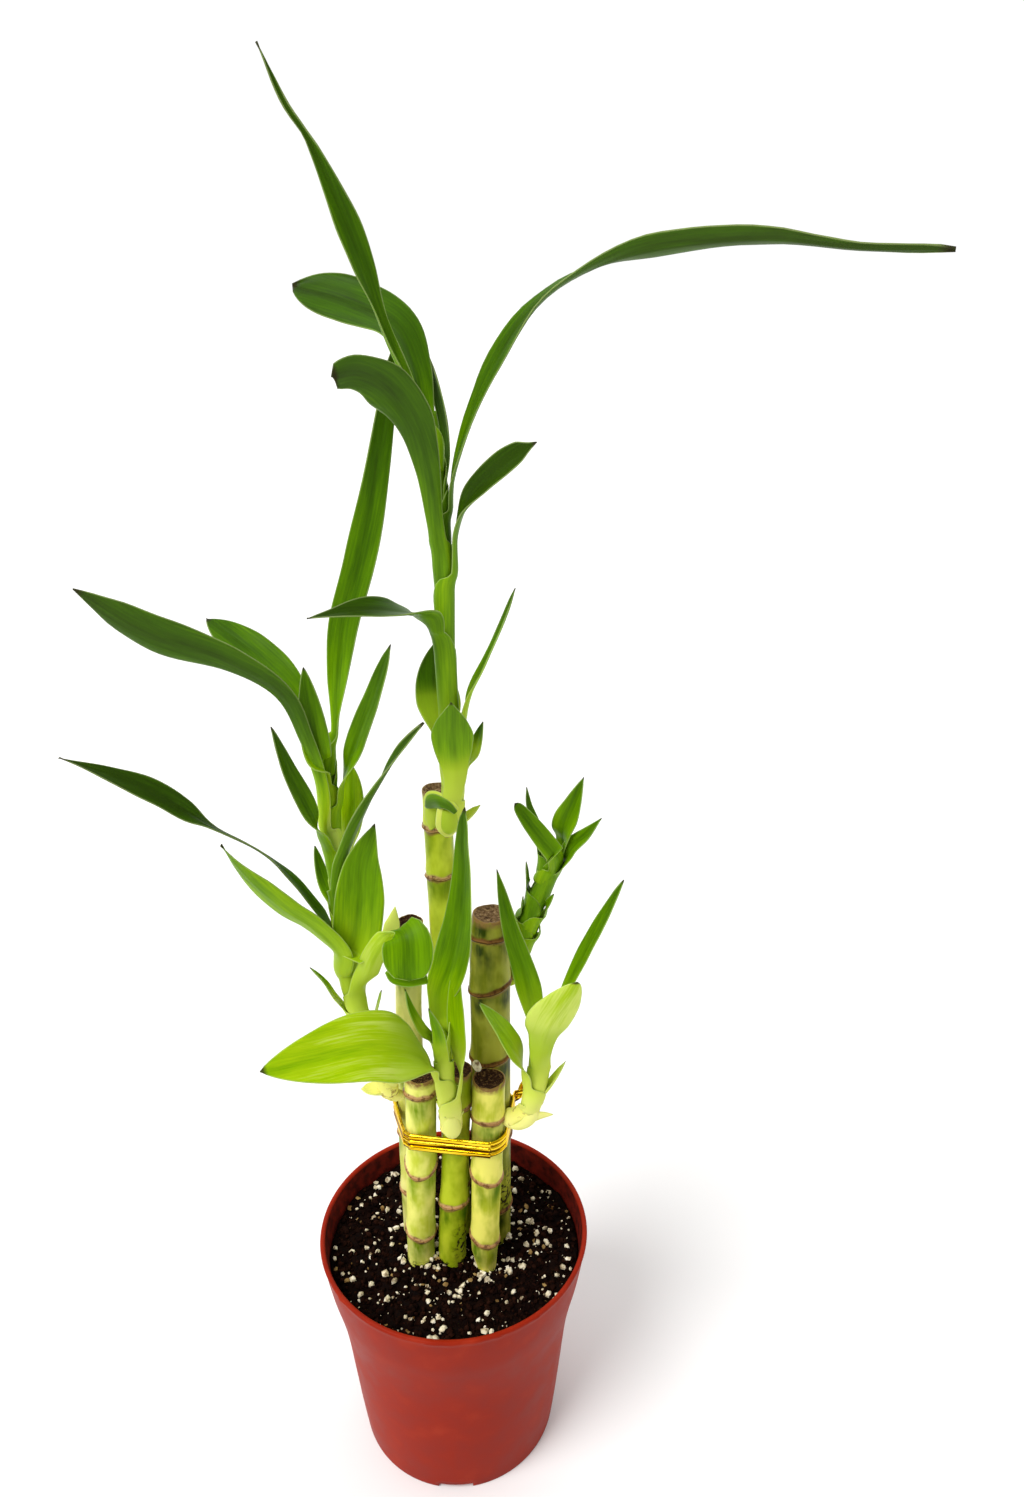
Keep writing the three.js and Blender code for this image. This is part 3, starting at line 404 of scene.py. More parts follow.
# Bark and peat: dull and dry on top, each grain in one natural colour that varies a little.
bark_dark = mottled_material("composted bark", 2.5, 4, [(0.35, "#0c0403"), (0.65, "#27120a")], 0.85, 0.03)
bark_tan = mottled_material("fresh bark", 2.5, 4, [(0.35, "#5a3a1a"), (0.65, "#a98c58")], 0.9, 0.03)
peat_crumb = mottled_material("peat crumb", 2.5, 4, [(0.35, "#070202"), (0.65, "#190a05")], 0.8, 0.03)

strew("soil_crumbs", 3200, (0.7, 2.6), (0.5, 1.0), [peat_crumb, bark_dark], seed=3)
strew("soil_bark_chips", 400, (0.8, 2.9), (0.2, 0.45), [bark_dark, bark_tan, bark_dark], seed=5, sink=0.15)
strew("soil_perlite", 640, (0.4, 2.9), (0.55, 0.95), [perlite], seed=11, sink=0.1, near_canes=0.22)

# ---------------------------------------------------------------------------------------------
# The canes: six cut lengths of living stem, pale green and smooth, with a leaf-scar ring at each
# node. They are pushed into the soil, and their cut tops have dried brown.


def bend_grid(across, along, place):
    """A grid of cells, with corner (i, j) moved to place(i, j)."""
    bm = bmesh.new()
    bmesh.ops.create_grid(bm, x_segments=across, y_segments=along, size=0.5)
    for vertex in bm.verts:
        vertex.co = place(round((vertex.co.x + 0.5) * across), round((vertex.co.y + 0.5) * along))
    return bm


def mark(bm, name, value):
    """Writes a number to every vertex of a bmesh, for its material to read."""
    layer = bm.verts.layers.float.new(name)
    for vertex in bm.verts:
        vertex[layer] = value(vertex)


def close_up(bm):
    """Merges the seam, closes the ends and turns the faces outwards."""
    bmesh.ops.remove_doubles(bm, verts=bm.verts, dist=SEAM)
    bmesh.ops.holes_fill(bm, edges=[e for e in bm.edges if e.is_boundary], sides=0)
    bmesh.ops.recalc_face_normals(bm, faces=bm.faces)


def smoothstep(t, low, high):
    """A smooth step from 0 at low to 1 at high."""
    s = np.clip((t - low) / (high - low), 0, 1)
    return s * s * (3 - 2 * s)


CANE_SIDES = 44
CANE_FOOT = 24.0
BURIED = 70.0  # no ring tilts a cane below this height
RINGS_FROM = 74  # the rings and swellings start at this height
OUT_OF_SHADE = 40  # further below a ring than its deep green reaches
# the canes that are deep green right up to their cut: painted shade on their tops
SHADED_TOPS = {"back_right", "front_middle"}
# where wet soil has dried on a cane, as (bearing in degrees, height)
SMEARS = {"front_middle": [(-38, 88)], "back_right": [(-40, 100)]}


def build_cane(cane, seed):
    """One cane. Its node rings slant to a side and sag at the front, as the old leaves sat."""
    axis, _, rings = CANES[cane]
    top = axis[-1][2]
    heights = {CANE_FOOT, 50.0, BURIED, top - 0.9, top - 0.45, top - 0.15}
    heights |= set(np.arange(RINGS_FROM, top - 1, 1.6))
    for ring in rings:
        heights |= set(np.round(ring[0] + np.arange(-2.1, 2.2, 0.25), 2))
    heights = [float(z) for z in sorted(heights) if z <= top - 0.15]
    # the side, then over the rim and down into the dish of the cut
    rows = [(z, 1.0, 0.0) for z in heights]
    rows += [(top, 0.955, 0.0), (top, 0.9, 0.0), (top, 0.82, -0.35), (top, 0.66, -0.75), (top, 0.45, -1.0)]
    rows += [(top, 0.2, -1.1), (top, 0.0, -1.15)]
    levels = [BURIED, *[ring[0] for ring in rings], top]
    slants = [0, *[ring[1] for ring in rings], 0]
    sags = [0, *[ring[2] for ring in rings], 0]

    def cloud(angle, fineness, level):
        """Smooth noise round the cane, between about -1 and 1."""
        return noise.noise(Vector((fineness * math.cos(angle), fineness * math.sin(angle), level + seed)))

    def above_ring(z, angle):
        """Distance above the nearest ring, whose edge is a little wavy."""
        return min((z - ring[0] - 0.4 * cloud(angle, 2, ring[0]) for ring in rings), key=abs)

    def below_ring(z):
        """Distance to the next ring up, or to the cut of a cane whose top has painted shade."""
        # on the shaded canes the deep green runs up to the cut: painted shade
        last = top - z if cane in SHADED_TOPS else OUT_OF_SHADE
        return min((ring[0] - z for ring in rings if ring[0] > z), default=last)

    def place(i, j):
        """Where corner (i, j) of the cane's grid goes."""
        z, share, drop = rows[j]
        angle = 2 * math.pi * (i % CANE_SIDES) / CANE_SIDES
        d = above_ring(z, angle)
        swell = 0
        if share == 1.0 and z > RINGS_FROM:
            # the scar's ridge with a groove above it, on a swelling that steps outwards there
            swell = 0.42 * math.exp(-((d / 0.5) ** 2)) - 0.2 * math.exp(-(((d - 1.1) / 0.6) ** 2))
            swell += 0.3 * math.exp(-((d / 3.4) ** 2)) + 0.1 * cloud(angle, 3, z / 9)
            swell += 0.16 * math.tanh(d / 0.5) * math.exp(-((d / 4) ** 2))
        if z > top - 1.0:
            drop += 0.5 * cloud(angle, 2.5, 0) * min(1, share)
            swell += 0.1
        if share < 0.85:
            drop += 0.3 * cloud(angle, 9 * share, 7)
        tilt = np.interp(z, levels, slants) * math.cos(angle)
        tilt += np.interp(z, levels, sags) * (1 + math.sin(angle))
        centre, r = cane_at(cane, z + tilt)
        r += swell
        return centre + Vector((r * share * math.cos(angle), r * share * math.sin(angle), drop))

    bm = bend_grid(CANE_SIDES, len(rows) - 1, place)
    bm.verts.index_update()

    def seat(vertex):
        """Height of a vertex before the tilt of its ring, and its bearing."""
        j, i = divmod(vertex.index, CANE_SIDES + 1)
        return rows[j][0], 2 * math.pi * i / CANE_SIDES

    def scar(vertex):
        """How near a vertex is to a leaf scar, in a band of uneven width."""
        z, angle = seat(vertex)
        width = 1.1 + 0.6 * cloud(angle, 1.8, z / 30 + 3)
        return math.exp(-((above_ring(z, angle) / width) ** 2)) * (0.9 + 0.5 * cloud(angle, 1.3, z / 30))

    def scar_side(vertex):
        """Where a vertex is across a leaf scar: below it under 0.5, and above it over 0.5."""
        d = above_ring(*seat(vertex))
        return 0.5 + d * math.exp(-((d / 1.5) ** 2))

    def shade(vertex):
        """How deep the green below a ring is, in uneven clouds, and the painted shade below a shaded cut.
        """
        z, angle = seat(vertex)
        gap = below_ring(z)
        depth = float(smoothstep(gap, 0.1, 1.6) * (1 - smoothstep(gap, 3, 12 + 5 * cloud(angle, 1.2, 5))))
        return depth * (0.55 + 1.1 * cloud(angle, 1.1, z / 25 + 9))

    def soiled(vertex):
        """How much dried soil lies on the skin."""
        z, angle = seat(vertex)
        amount = 1.1 * (1 - float(smoothstep(z, 77.5, 81)))
        for bearing, height in SMEARS.get(cane, []):
            turn = math.remainder(angle - math.radians(bearing), 2 * math.pi)
            amount = max(amount, math.exp(-((turn / 0.75) ** 2) - ((z - height) / 9) ** 2))
        return amount

    marks = {"scar": scar, "scar_side": scar_side, "shade": shade, "soiled": soiled}
    marks["from_top"] = lambda vertex: top - seat(vertex)[0]
    for name, value in marks.items():
        mark(bm, name, value)
    for face in bm.faces:
        centre = face.calc_center_median()
        middle, r = cane_at(cane, min(centre.z, top))
        if centre.z > top - 2.4 and (centre - middle).xy.length < 0.93 * r:
            face.material_index = 1
    close_up(bm)
    return bm


def cane_material(name, pale, green, deep, scar_dark, scar_lip):
    """Living cane skin: waxy, in clouds of pale and fuller green, deep green below each node and painted
    shade at some cut tops.
    """
    material, tree, shader = start_material(name)
    place = add_node(tree, "TexCoord", out="Object")
    read = {
        key: add_node(tree, "Attribute", out="Fac", attribute_name=key)
        for key in ("shade", "scar", "scar_side", "from_top", "soiled")
    }
    stretched = add_node(tree, "Mapping", {"Vector": place, "Scale": (1, 1, 0.09)})
    streaks = add_node(tree, "TexNoise", {"Vector": stretched, "Scale": 1 / (1.1 * MM), "Detail": 3})
    drawn_out = add_node(tree, "Mapping", {"Vector": place, "Scale": (1, 1, 0.5)})
    clouds = add_node(tree, "TexNoise", {
        "Vector": drawn_out, "Scale": 1 / (6.5 * MM), "Detail": 3, "Roughness": 0.55,
    })
    specks = add_node(tree, "TexNoise", {"Vector": place, "Scale": 1 / (1.3 * MM), "Detail": 5})
    fuller = add_node(
        tree, "MapRange", {0: clouds, 1: 0.38, 2: 0.68, 4: 0.9}, interpolation_type="SMOOTHSTEP",
    )
    streaked = add_node(tree, "MapRange", {0: streaks, 1: 0.5, 2: 0.8, 4: 0.35})
    # the dried scar: a dark line with a pale tan lip over it
    scar = add_node(tree, "ValToRGB", {0: read["scar_side"]}, stops=[
        (0.0, "#8a7434"), (0.14, scar_dark), (0.42, scar_dark), (0.6, scar_lip), (0.8, "#8a5c34"),
        (1.0, scar_lip),
    ])
    crisp = add_node(tree, "MapRange", {0: read["scar"], 1: 0.12, 2: 0.5, 4: 0.95})
    dried = add_node(tree, "MapRange", {0: read["from_top"], 1: 0.3, 2: 2.6, 3: 1, 4: 0})
    smeared = add_node(tree, "MapRange", {0: read["soiled"], 1: 0.1, 2: 0.8})
    # the colours that are laid one over another, where each lies, and how noise breaks it up
    layers = [
        (green, fuller, None),
        (deep, read["shade"], {0: clouds, 1: 0.36, 2: 0.6, 3: 0.45, 4: 1.25}),
        (pale, streaked, None),
        (scar, crisp, None),
        ("#4a2812", crisp, {0: specks, 1: 0.5, 2: 0.62, 4: 0.75}),
        ("#87683a", dried, {0: specks, 1: 0.3, 2: 0.6, 3: 0.5, 4: 1.4}),
        ("#1d0f08", smeared, {0: specks, 1: 0.5, 2: 0.57}),
    ]
    skin = pale
    for colour, share, broken in layers:
        if broken:
            left = add_node(tree, "MapRange", broken)
            share = add_node(tree, "Math", {0: share, 1: left}, operation="MULTIPLY", use_clamp=True)
        skin = add_node(tree, "Mix", {0: share, 6: skin, 7: colour}, out=2, data_type="RGBA")
    bump = add_node(tree, "Bump", {"Height": streaks, "Strength": 0.2, "Distance": 0.15 * MM})
    feed(tree, shader, {
        "Base Color": skin, "Normal": bump, "Roughness": 0.36, "IOR": 1.45, "Specular IOR Level": 0.1,
        "Subsurface Weight": 0.12, "Subsurface Radius": (0.6, 1.0, 0.2), "Subsurface Scale": 1.0 * MM,
    })
    return material


# Dried pith: coarse fibres end-on, in a sunken dish. It is greyer where the cut is older.
cut_pith, weathered_pith = [
    mottled_material(name, 0.9, 6, stops, 0.9, 0.12, fineness=0.75, relief=(1.0, 0.5))
    for name, stops in [
        ("dried cut pith", [(0.35, "#140905"), (0.52, "#3a2013"), (0.7, "#94734a")]),
        ("weathered cut pith", [(0.35, "#2e1b0e"), (0.52, "#7d6141"), (0.7, "#c4a67c")]),
    ]
]
CANE_SKINS = {
    # pale, fuller and deep green of each cane, then the dark and the lip of its scars
    "back_tall": ("#cdda3c", "#a6b616", "#6f8a04", "#6b3f1c", "#c19a6c"),
    "back_right": ("#a5a538", "#6a7208", "#2c3a02", "#2e170a", "#6a4420"),
    "back_left": ("#e2dd86", "#b8bd4a", "#6d840c", "#5e3216", "#b58a5e"),
    "front_left": ("#ecea7c", "#bac52c", "#6f8c06", "#5e3216", "#bb9066"),
    "front_right": ("#e8e26a", "#a8b210", "#547402", "#5a2e14", "#b0835a"),
    "front_middle": ("#b8c42c", "#8a9f08", "#446402", "#5e3216", "#bb9066"),
}
for number, (cane, colours) in enumerate(CANE_SKINS.items()):
    skin = cane_material(f"living skin of cane {cane}", *colours)
    pith = weathered_pith if cane in ("back_tall", "back_right") else cut_pith
    make_piece(f"cane_{cane}_skin", build_cane(cane, 10 * number), [skin, pith], [f"cane_{cane}"])

# one lump of perlite was left lying between the cut tops
bm = bmesh.new()
bmesh.ops.create_icosphere(bm, subdivisions=2, radius=1)
for vertex in bm.verts:
    vertex.co *= 1 + 0.22 * noise.noise(vertex.co * 1.4)
bmesh.ops.scale(bm, vec=(1.4, 1.3, 2.2), verts=bm.verts)
bmesh.ops.rotate(bm, cent=(0, 0, 0), matrix=Matrix.Rotation(math.radians(-16), 3, "Y"), verts=bm.verts)
bmesh.ops.translate(bm, vec=(9.2, -7, 158.2), verts=bm.verts)
make_piece("lodged_perlite", bm, [perlite])

# ---------------------------------------------------------------------------------------------
# The tie: one flat wire covered in gold foil, wound three times round all six canes and twisted
# together behind the thick cane on the right.

WIRE = 1.9  # the wire's width
TIE_PITCH = 2.1
TIE_TURNS = 3
TURN_STEPS = 36
TIE_HEIGHT = 129.2
TIE_START = math.radians(25)
TIE_TAIL = 9  # the length of the twisted ends
TAIL_TURN = 1.5 * math.pi  # how far each end turns round the other
TAIL_STEPS = 16
FLATNESS = 0.62  # the wire's thickness over its width
TIE_STEPS = 620


def lengths_along(curve):
    """The distance along a curve from its start to each of its points."""
    return np.concatenate([[0], np.cumsum(np.linalg.norm(np.diff(curve, axis=0), axis=1))])


def evenly(curve, shares):
    """Points of a curve at the given shares of its length, and the length."""
    lengths = lengths_along(curve)
    at = np.array(shares) * lengths[-1]
    return np.stack([np.interp(at, lengths, curve[:, k]) for k in range(3)], axis=1), lengths[-1]


def unit(v):
    """Arrows of length 1 along the given ones."""
    return v / np.maximum(np.linalg.norm(v, axis=-1, keepdims=True), 1e-9)


def frames_along(path, first):
    """Directions along a path, and two more square to them that turn as little as they can."""
    tangents = unit(np.gradient(path, axis=0))
    normals = []
    normal = np.array(first, float)
    for tangent in tangents:
        normal = unit(normal - tangent * normal.dot(tangent))
        normals.append(normal)
    normals = np.array(normals)
    return tangents, normals, np.cross(tangents, normals)


def bar(path, radii, sides, first=(0, 0, 1), shape=None, depth=1.0, marks=None):
    """A bar along a path, closed at both ends. shape(j, angle) adds to its radius."""
    tangents, normals, across = frames_along(path, first)

    def place(i, j):
        """Where corner (i, j) of the bar's grid goes."""
        angle = 2 * math.pi * (i % sides) / sides
        r = radii[j] + (shape(j, angle) if shape else 0)
        return Vector(path[j] + r * (math.cos(angle) * normals[j] + depth * math.sin(angle) * across[j]))

    bm = bend_grid(sides, len(path) - 1, place)
    bm.verts.index_update()
    for name, value in (marks or {}).items():
        mark(bm, name, lambda vertex: value(
            vertex.index // (sides + 1), 2 * math.pi * (vertex.index % (sides + 1)) / sides,
        ))
    close_up(bm)
    return bm


def around_canes(angle, clearance):
    """Where a string pulled round all the canes runs, at an angle."""
    direction = Vector((math.cos(angle), math.sin(angle), 0))
    touching = []
    for cane in CANES:
        centre, radius = cane_at(cane, TIE_HEIGHT + TIE_PITCH)
        touching.append(centre + direction * (radius + clearance))
    return max(touching, key=lambda p: p.dot(direction))


winding = []
for step in range(TIE_TURNS * TURN_STEPS + 1):
    spot = around_canes(TIE_START + 2 * math.pi * step / TURN_STEPS, WIRE / 2)
    winding.append(Vector((spot.x, spot.y, TIE_HEIGHT + TIE_PITCH * step / TURN_STEPS)))
outwards = Vector((math.cos(TIE_START), math.sin(TIE_START), 0.7)).normalized()
sideways = Vector((-math.sin(TIE_START), math.cos(TIE_START), 0))
third = outwards.cross(sideways)
middle = (winding[0] + winding[-1]) / 2 + 2.5 * outwards


def twisted_tail(phase):
    """One end of the wire, wound round the other."""
    tail = []
    for step in range(TAIL_STEPS + 1):
        turn = phase + TAIL_TURN * step / TAIL_STEPS
        aside = sideways * math.cos(turn) + third * math.sin(turn)
        tail.append(middle + outwards * (TIE_TAIL * step / TAIL_STEPS) + aside * (FLATNESS * WIRE))
    return tail


tie_path = twisted_tail(1.5 * math.pi)[::-1] + winding[2:-2] + twisted_tail(0.5 * math.pi)
tie_curve, tie_length = evenly(spline(tie_path, 4), np.linspace(0, 1, TIE_STEPS))
bm = bar(
    tie_curve, [WIRE / 2] * TIE_STEPS, 20, depth=FLATNESS,
    shape=lambda j, angle: 0.04 * noise.noise(Vector(tie_curve[j]) / 2) + 0.05 * math.cos(5 * angle),
    marks={"run": lambda j, angle: tie_length * j / (TIE_STEPS - 1), "turn": lambda j, angle: angle},
)

# Gold metallised foil: mirror-like, with long creases that run with the wire. Its colour has dark and
# bright lines along them: painted reflections, and painted shade in the creases.
gold_foil, tree, shader = start_material("gold metallised foil")
turn = add_node(tree, "Attribute", out="Fac", attribute_name="turn")
run = add_node(tree, "Attribute", out="Fac", attribute_name="run")
wrap = add_node(tree, "CombineXYZ", {"X": turn, "Y": run})
drawn = add_node(tree, "Mapping", {"Vector": wrap, "Scale": (0.7, 1 / 34, 1)})
creases_and_painted_lines = add_node(tree, "TexNoise", {"Vector": drawn, "Scale": 1.0, "Detail": 1, "Roughness": 0.4})
# painted reflections and painted shade: dark brown and bright yellow lines in the foil's colour
colour = add_node(tree, "ValToRGB", {0: creases_and_painted_lines}, stops=[
    (0.36, "#2e1a00"), (0.41, "#b07c00"), (0.46, "#f0c208"), (0.54, "#ffe03a"), (0.62, "#d49c00"),
    (0.68, "#4a2d00"),
])
bump = add_node(tree, "Bump", {"Height": creases_and_painted_lines, "Strength": 0.25, "Distance": 0.25 * MM})
feed(tree, shader, {"Base Color": colour, "Normal": bump, "Metallic": 1.0, "Roughness": 0.16})

make_piece("gold_tie", bm, [gold_foil], ["tie"])

# ---------------------------------------------------------------------------------------------
# The shoots: five young leafy stems, each grown out of a node near the top of its cane. They are
# pale and creamy at the root and green above. Brown joint lines and small dry scales wrap their
# roots, and the shoot behind on the right is a tight bunch of young leaves.

SHOOTS = {
    # the points of each stem from its root up, and its radius at the root, halfway and at the tip
    "top": (
        [(1.6, -0.4, 234.6), (2.8, -2.8, 239.2), (3.9, -3.9, 249), (3.7, -3.5, 277), (3, -2, 294),
         (3, 0, 314), (2.2, 1.2, 330), (2, 2.2, 351)],
        [3, 2.4, 1.7],
    ),
    "left": (
        [(-12.8, -7, 147.2), (-17, -7.6, 148.2), (-20.2, -8.8, 157), (-23.5, -10, 172), (-26.4, -11, 189),
         (-28, -11, 212), (-28.5, -11, 230), (-29, -10, 248), (-29, -9, 268)],
        [3.2, 2.5, 1.8],
    ),
    "front": ([(1.1, -13.9, 138.2), (1, -14.2, 146), (0, -15.2, 160), (-0.8, -16, 180)], [3.7, 2.6, 1.9]),
    "right": (
        [(16.4, -9.5, 139.6), (20.8, -9.9, 140.6), (25.2, -10.9, 144.6), (26.8, -12, 151.5),
         (28.2, -12, 164), (29, -11.4, 176)],
        [3.2, 3, 2],
    ),
    "back_right": (
        [(18.8, 6.6, 178), (20.6, 7.8, 180.6), (22.8, 8.9, 188.5), (26.1, 10, 202), (30, 11, 213),
         (32, 12, 222)],
        [2, 2.9, 2.6],
    ),
}
# the heights between which each shoot turns from cream to green, and those of its root's joints
GREENING = {
    "top": (222, 290), "left": (146, 226), "front": (138, 200), "right": (140, 196),
    "back_right": (168, 196),
}
JOINTS = {
    "top": [235], "left": [149.6, 158, 164], "front": [139.4], "right": [149],
    "back_right": [181, 184, 188],
}
STEM_STEPS = 120

shoot_curves = {}
for shoot, (points, radii) in SHOOTS.items():
    shares = np.linspace(0, 1, STEM_STEPS + 1)
    path, _ = evenly(spline(points), shares)
    shoot_curves[shoot] = (path, np.interp(shares, [0, 0.5, 1], radii))


def shoot_at(shoot, z):
    """Centre, direction and radius of a shoot at a height, carried on past its top."""
    path, radii = shoot_curves[shoot]
    i = int(np.clip(np.searchsorted(path[:, 2], z), 1, STEM_STEPS))
    share = (z - path[i - 1, 2]) / (path[i, 2] - path[i - 1, 2])
    centre = path[i - 1] + share * (path[i] - path[i - 1])
    return centre, unit(path[i] - path[i - 1]), float(np.interp(z, path[:, 2], radii))


def green_share(shoot, z):
    """How green a shoot is at a height, from 0 for cream to 1."""
    low, high = GREENING[shoot]
    return min(1.0, max(0.0, (z - low) / (high - low)))


# Young stem skin: waxy and faintly ribbed along its length, with a thin brown line at each joint
# and a few brown flecks at the root.
stem_skin, tree, shader = start_material("young stem skin")
place = add_node(tree, "TexCoord", out="Object")
greened = add_node(tree, "Attribute", out="Fac", attribute_name="green")
to_joint = add_node(tree, "Attribute", out="Fac", attribute_name="to_joint")
stretched = add_node(tree, "Mapping", {"Vector": place, "Scale": (1, 1, 0.1)})
ribs = add_node(tree, "TexNoise", {"Vector": stretched, "Scale": 1 / (0.8 * MM), "Detail": 3})
flecks = add_node(tree, "TexNoise", {"Vector": place, "Scale": 1 / (1.6 * MM), "Detail": 5})
colour = add_node(tree, "ValToRGB", {0: greened}, stops=[
    (0.0, "#f0ea86"), (0.2, "#dde05c"), (0.45, "#b0c528"), (0.75, "#76990a"), (1.0, "#557a02"),
])
fleck_share = add_node(tree, "MapRange", {0: flecks, 1: 0.58, 2: 0.66, 4: 0.8})
near_root = add_node(tree, "MapRange", {0: greened, 1: 0.04, 2: 0.2, 3: 1, 4: 0})
flecked = add_node(tree, "Math", {0: fleck_share, 1: near_root}, operation="MULTIPLY")
line = add_node(tree, "MapRange", {0: to_joint, 1: 0.1, 2: 0.55, 3: 0.85, 4: 0})
browned = add_node(tree, "Math", {0: flecked, 1: line}, operation="MAXIMUM")
skin = add_node(tree, "Mix", {0: browned, 6: colour, 7: "#7d4a22"}, out=2, data_type="RGBA")
bump = add_node(tree, "Bump", {"Height": ribs, "Strength": 0.3, "Distance": 0.15 * MM})
feed(tree, shader, {
    "Base Color": skin, "Normal": bump, "Roughness": 0.45, "Specular IOR Level": 0.1,
    "Subsurface Weight": 0.15, "Subsurface Radius": (0.8, 1.0, 0.3), "Subsurface Scale": 1.0 * MM,
})


def joint_distance(shoot, z, angle):
    """Distance from the nearest joint of a shoot, which is a little wavy."""
    wave = 0.4 * noise.noise(Vector((1.5 * math.cos(angle), 1.5 * math.sin(angle), z / 4)))
    return min(abs(z + wave - joint) for joint in JOINTS[shoot])


for shoot, (path, radii) in shoot_curves.items():
    step = np.arange(STEM_STEPS + 1)
    rounding = np.clip(step / 7, 0.03, 1) ** 0.5 * np.clip((STEM_STEPS - step) / 12, 0.05, 1) ** 0.5

    def stem_relief(j, angle):
        """The ridges at a stem's joints, on skin that is a little uneven."""
        ridge = 0.3 * math.exp(-((joint_distance(shoot, path[j, 2], angle) / 0.5) ** 2))
        return rounding[j] * (ridge + 0.15 * noise.noise(Vector((math.cos(angle), math.sin(angle), j / 9))))

    bm = bar(path, (radii - 0.05) * rounding, 28, first=(1, 0.3, 0), shape=stem_relief)
    mark(bm, "green", lambda vertex: green_share(shoot, vertex.co.z))
    mark(bm, "to_joint", lambda vertex: joint_distance(shoot, vertex.co.z, 0))
    make_piece(f"stem_{shoot}", bm, [stem_skin], [f"shoot_{shoot}"])

# ---------------------------------------------------------------------------------------------
# The leaves: thin living blades. Each one wraps its shoot at the base like a sleeve, opens out,
# and bends away, with fine veins side by side, a paler underside and a dried brown tip.

# the cells of a blade's grid: across it, along it and along its sleeve
ACROSS = 14
ALONG = 46
SLEEVE = 16
SPREAD = np.linspace(-1, 1, ACROSS + 1)  # across a blade from one margin to the other
WRAPS = (3.1, 2.75, 2.0)  # half the angle that a sleeve spans at its foot, grip and mouth


def flow(keys, t):
    """Values at t of (t, value) keys, joined smoothly without overshooting them."""
    at = np.array([k[0] for k in keys], float)
    values = np.array([k[1] for k in keys], float).reshape(len(keys), -1)
    steps = np.diff(at)[:, None]
    slopes = np.diff(values, axis=0) / steps
    product = slopes[:-1] * slopes[1:]
    total = slopes[:-1] + slopes[1:]
    inner = np.where(product > 0, 2 * product / np.where(total == 0, 1, total), 0)
    bends = np.vstack([slopes[:1], inner, slopes[-1:]])
    i = np.clip(np.searchsorted(at, t) - 1, 0, len(at) - 2)
    s = np.clip((t - at[i]) / steps[i, 0], 0, 1)[:, None]
    out = (1 + 2 * s) * (1 - s) ** 2 * values[i] + s * (1 - s) ** 2 * steps[i] * bends[i]
    out += s * s * (3 - 2 * s) * values[i + 1] + s * s * (s - 1) * steps[i] * bends[i + 1]
    return out[:, 0] if out.shape[1] == 1 else out


def blade_surface(spine, facing, halves, arcs, relief=0):
    """Points of a blade, whose section is bent by arcs, in radians."""
    tangents = unit(np.gradient(spine, axis=0))
    normals = unit(facing - tangents * (facing * tangents).sum(1, keepdims=True))
    across = np.cross(tangents, normals)
    slope = arcs[:, None] * SPREAD
    step = halves[:, None] * 2 / ACROSS
    x, y = [
        np.hstack([np.zeros((len(spine), 1)), np.cumsum((turn[:, 1:] + turn[:, :-1]) / 2 * step, axis=1)])
        for turn in (np.cos(slope), np.sin(slope))
    ]
    x -= x[:, [ACROSS // 2]]
    y = y - y[:, [ACROSS // 2]] + relief
    return spine[:, None] + across[:, None] * x[..., None] + normals[:, None] * y[..., None]


def add_blade(bm, surface, halves, length, shares, marks):
    """Adds a grid bent onto a blade's surface, with the numbers that its material reads."""
    sheet = bend_grid(ACROSS, len(surface) - 1, lambda i, j: Vector(surface[j, i]))
    sheet.verts.index_update()
    names = ["span", "along", "across", "margin", *marks]
    layers = {name: sheet.verts.layers.float.new(name) for name in names}
    thickness = sheet.verts.layers.deform.verify()
    for vertex in sheet.verts:
        j, i = divmod(vertex.index, ACROSS + 1)
        v = 2 * i / ACROSS - 1
        vertex[layers["span"]] = shares[j]
        vertex[layers["along"]] = shares[j] * length
        vertex[layers["across"]] = v * halves[j]
        vertex[layers["margin"]] = halves[j] * (1 - abs(v))
        for name, values in marks.items():
            vertex[layers[name]] = float(values[j])
        vertex[thickness][0] = (1 - 0.8 * abs(v) ** 3) * min(1.0, 8 * (1 - shares[j]) + 0.15)
    pour(bm, sheet)


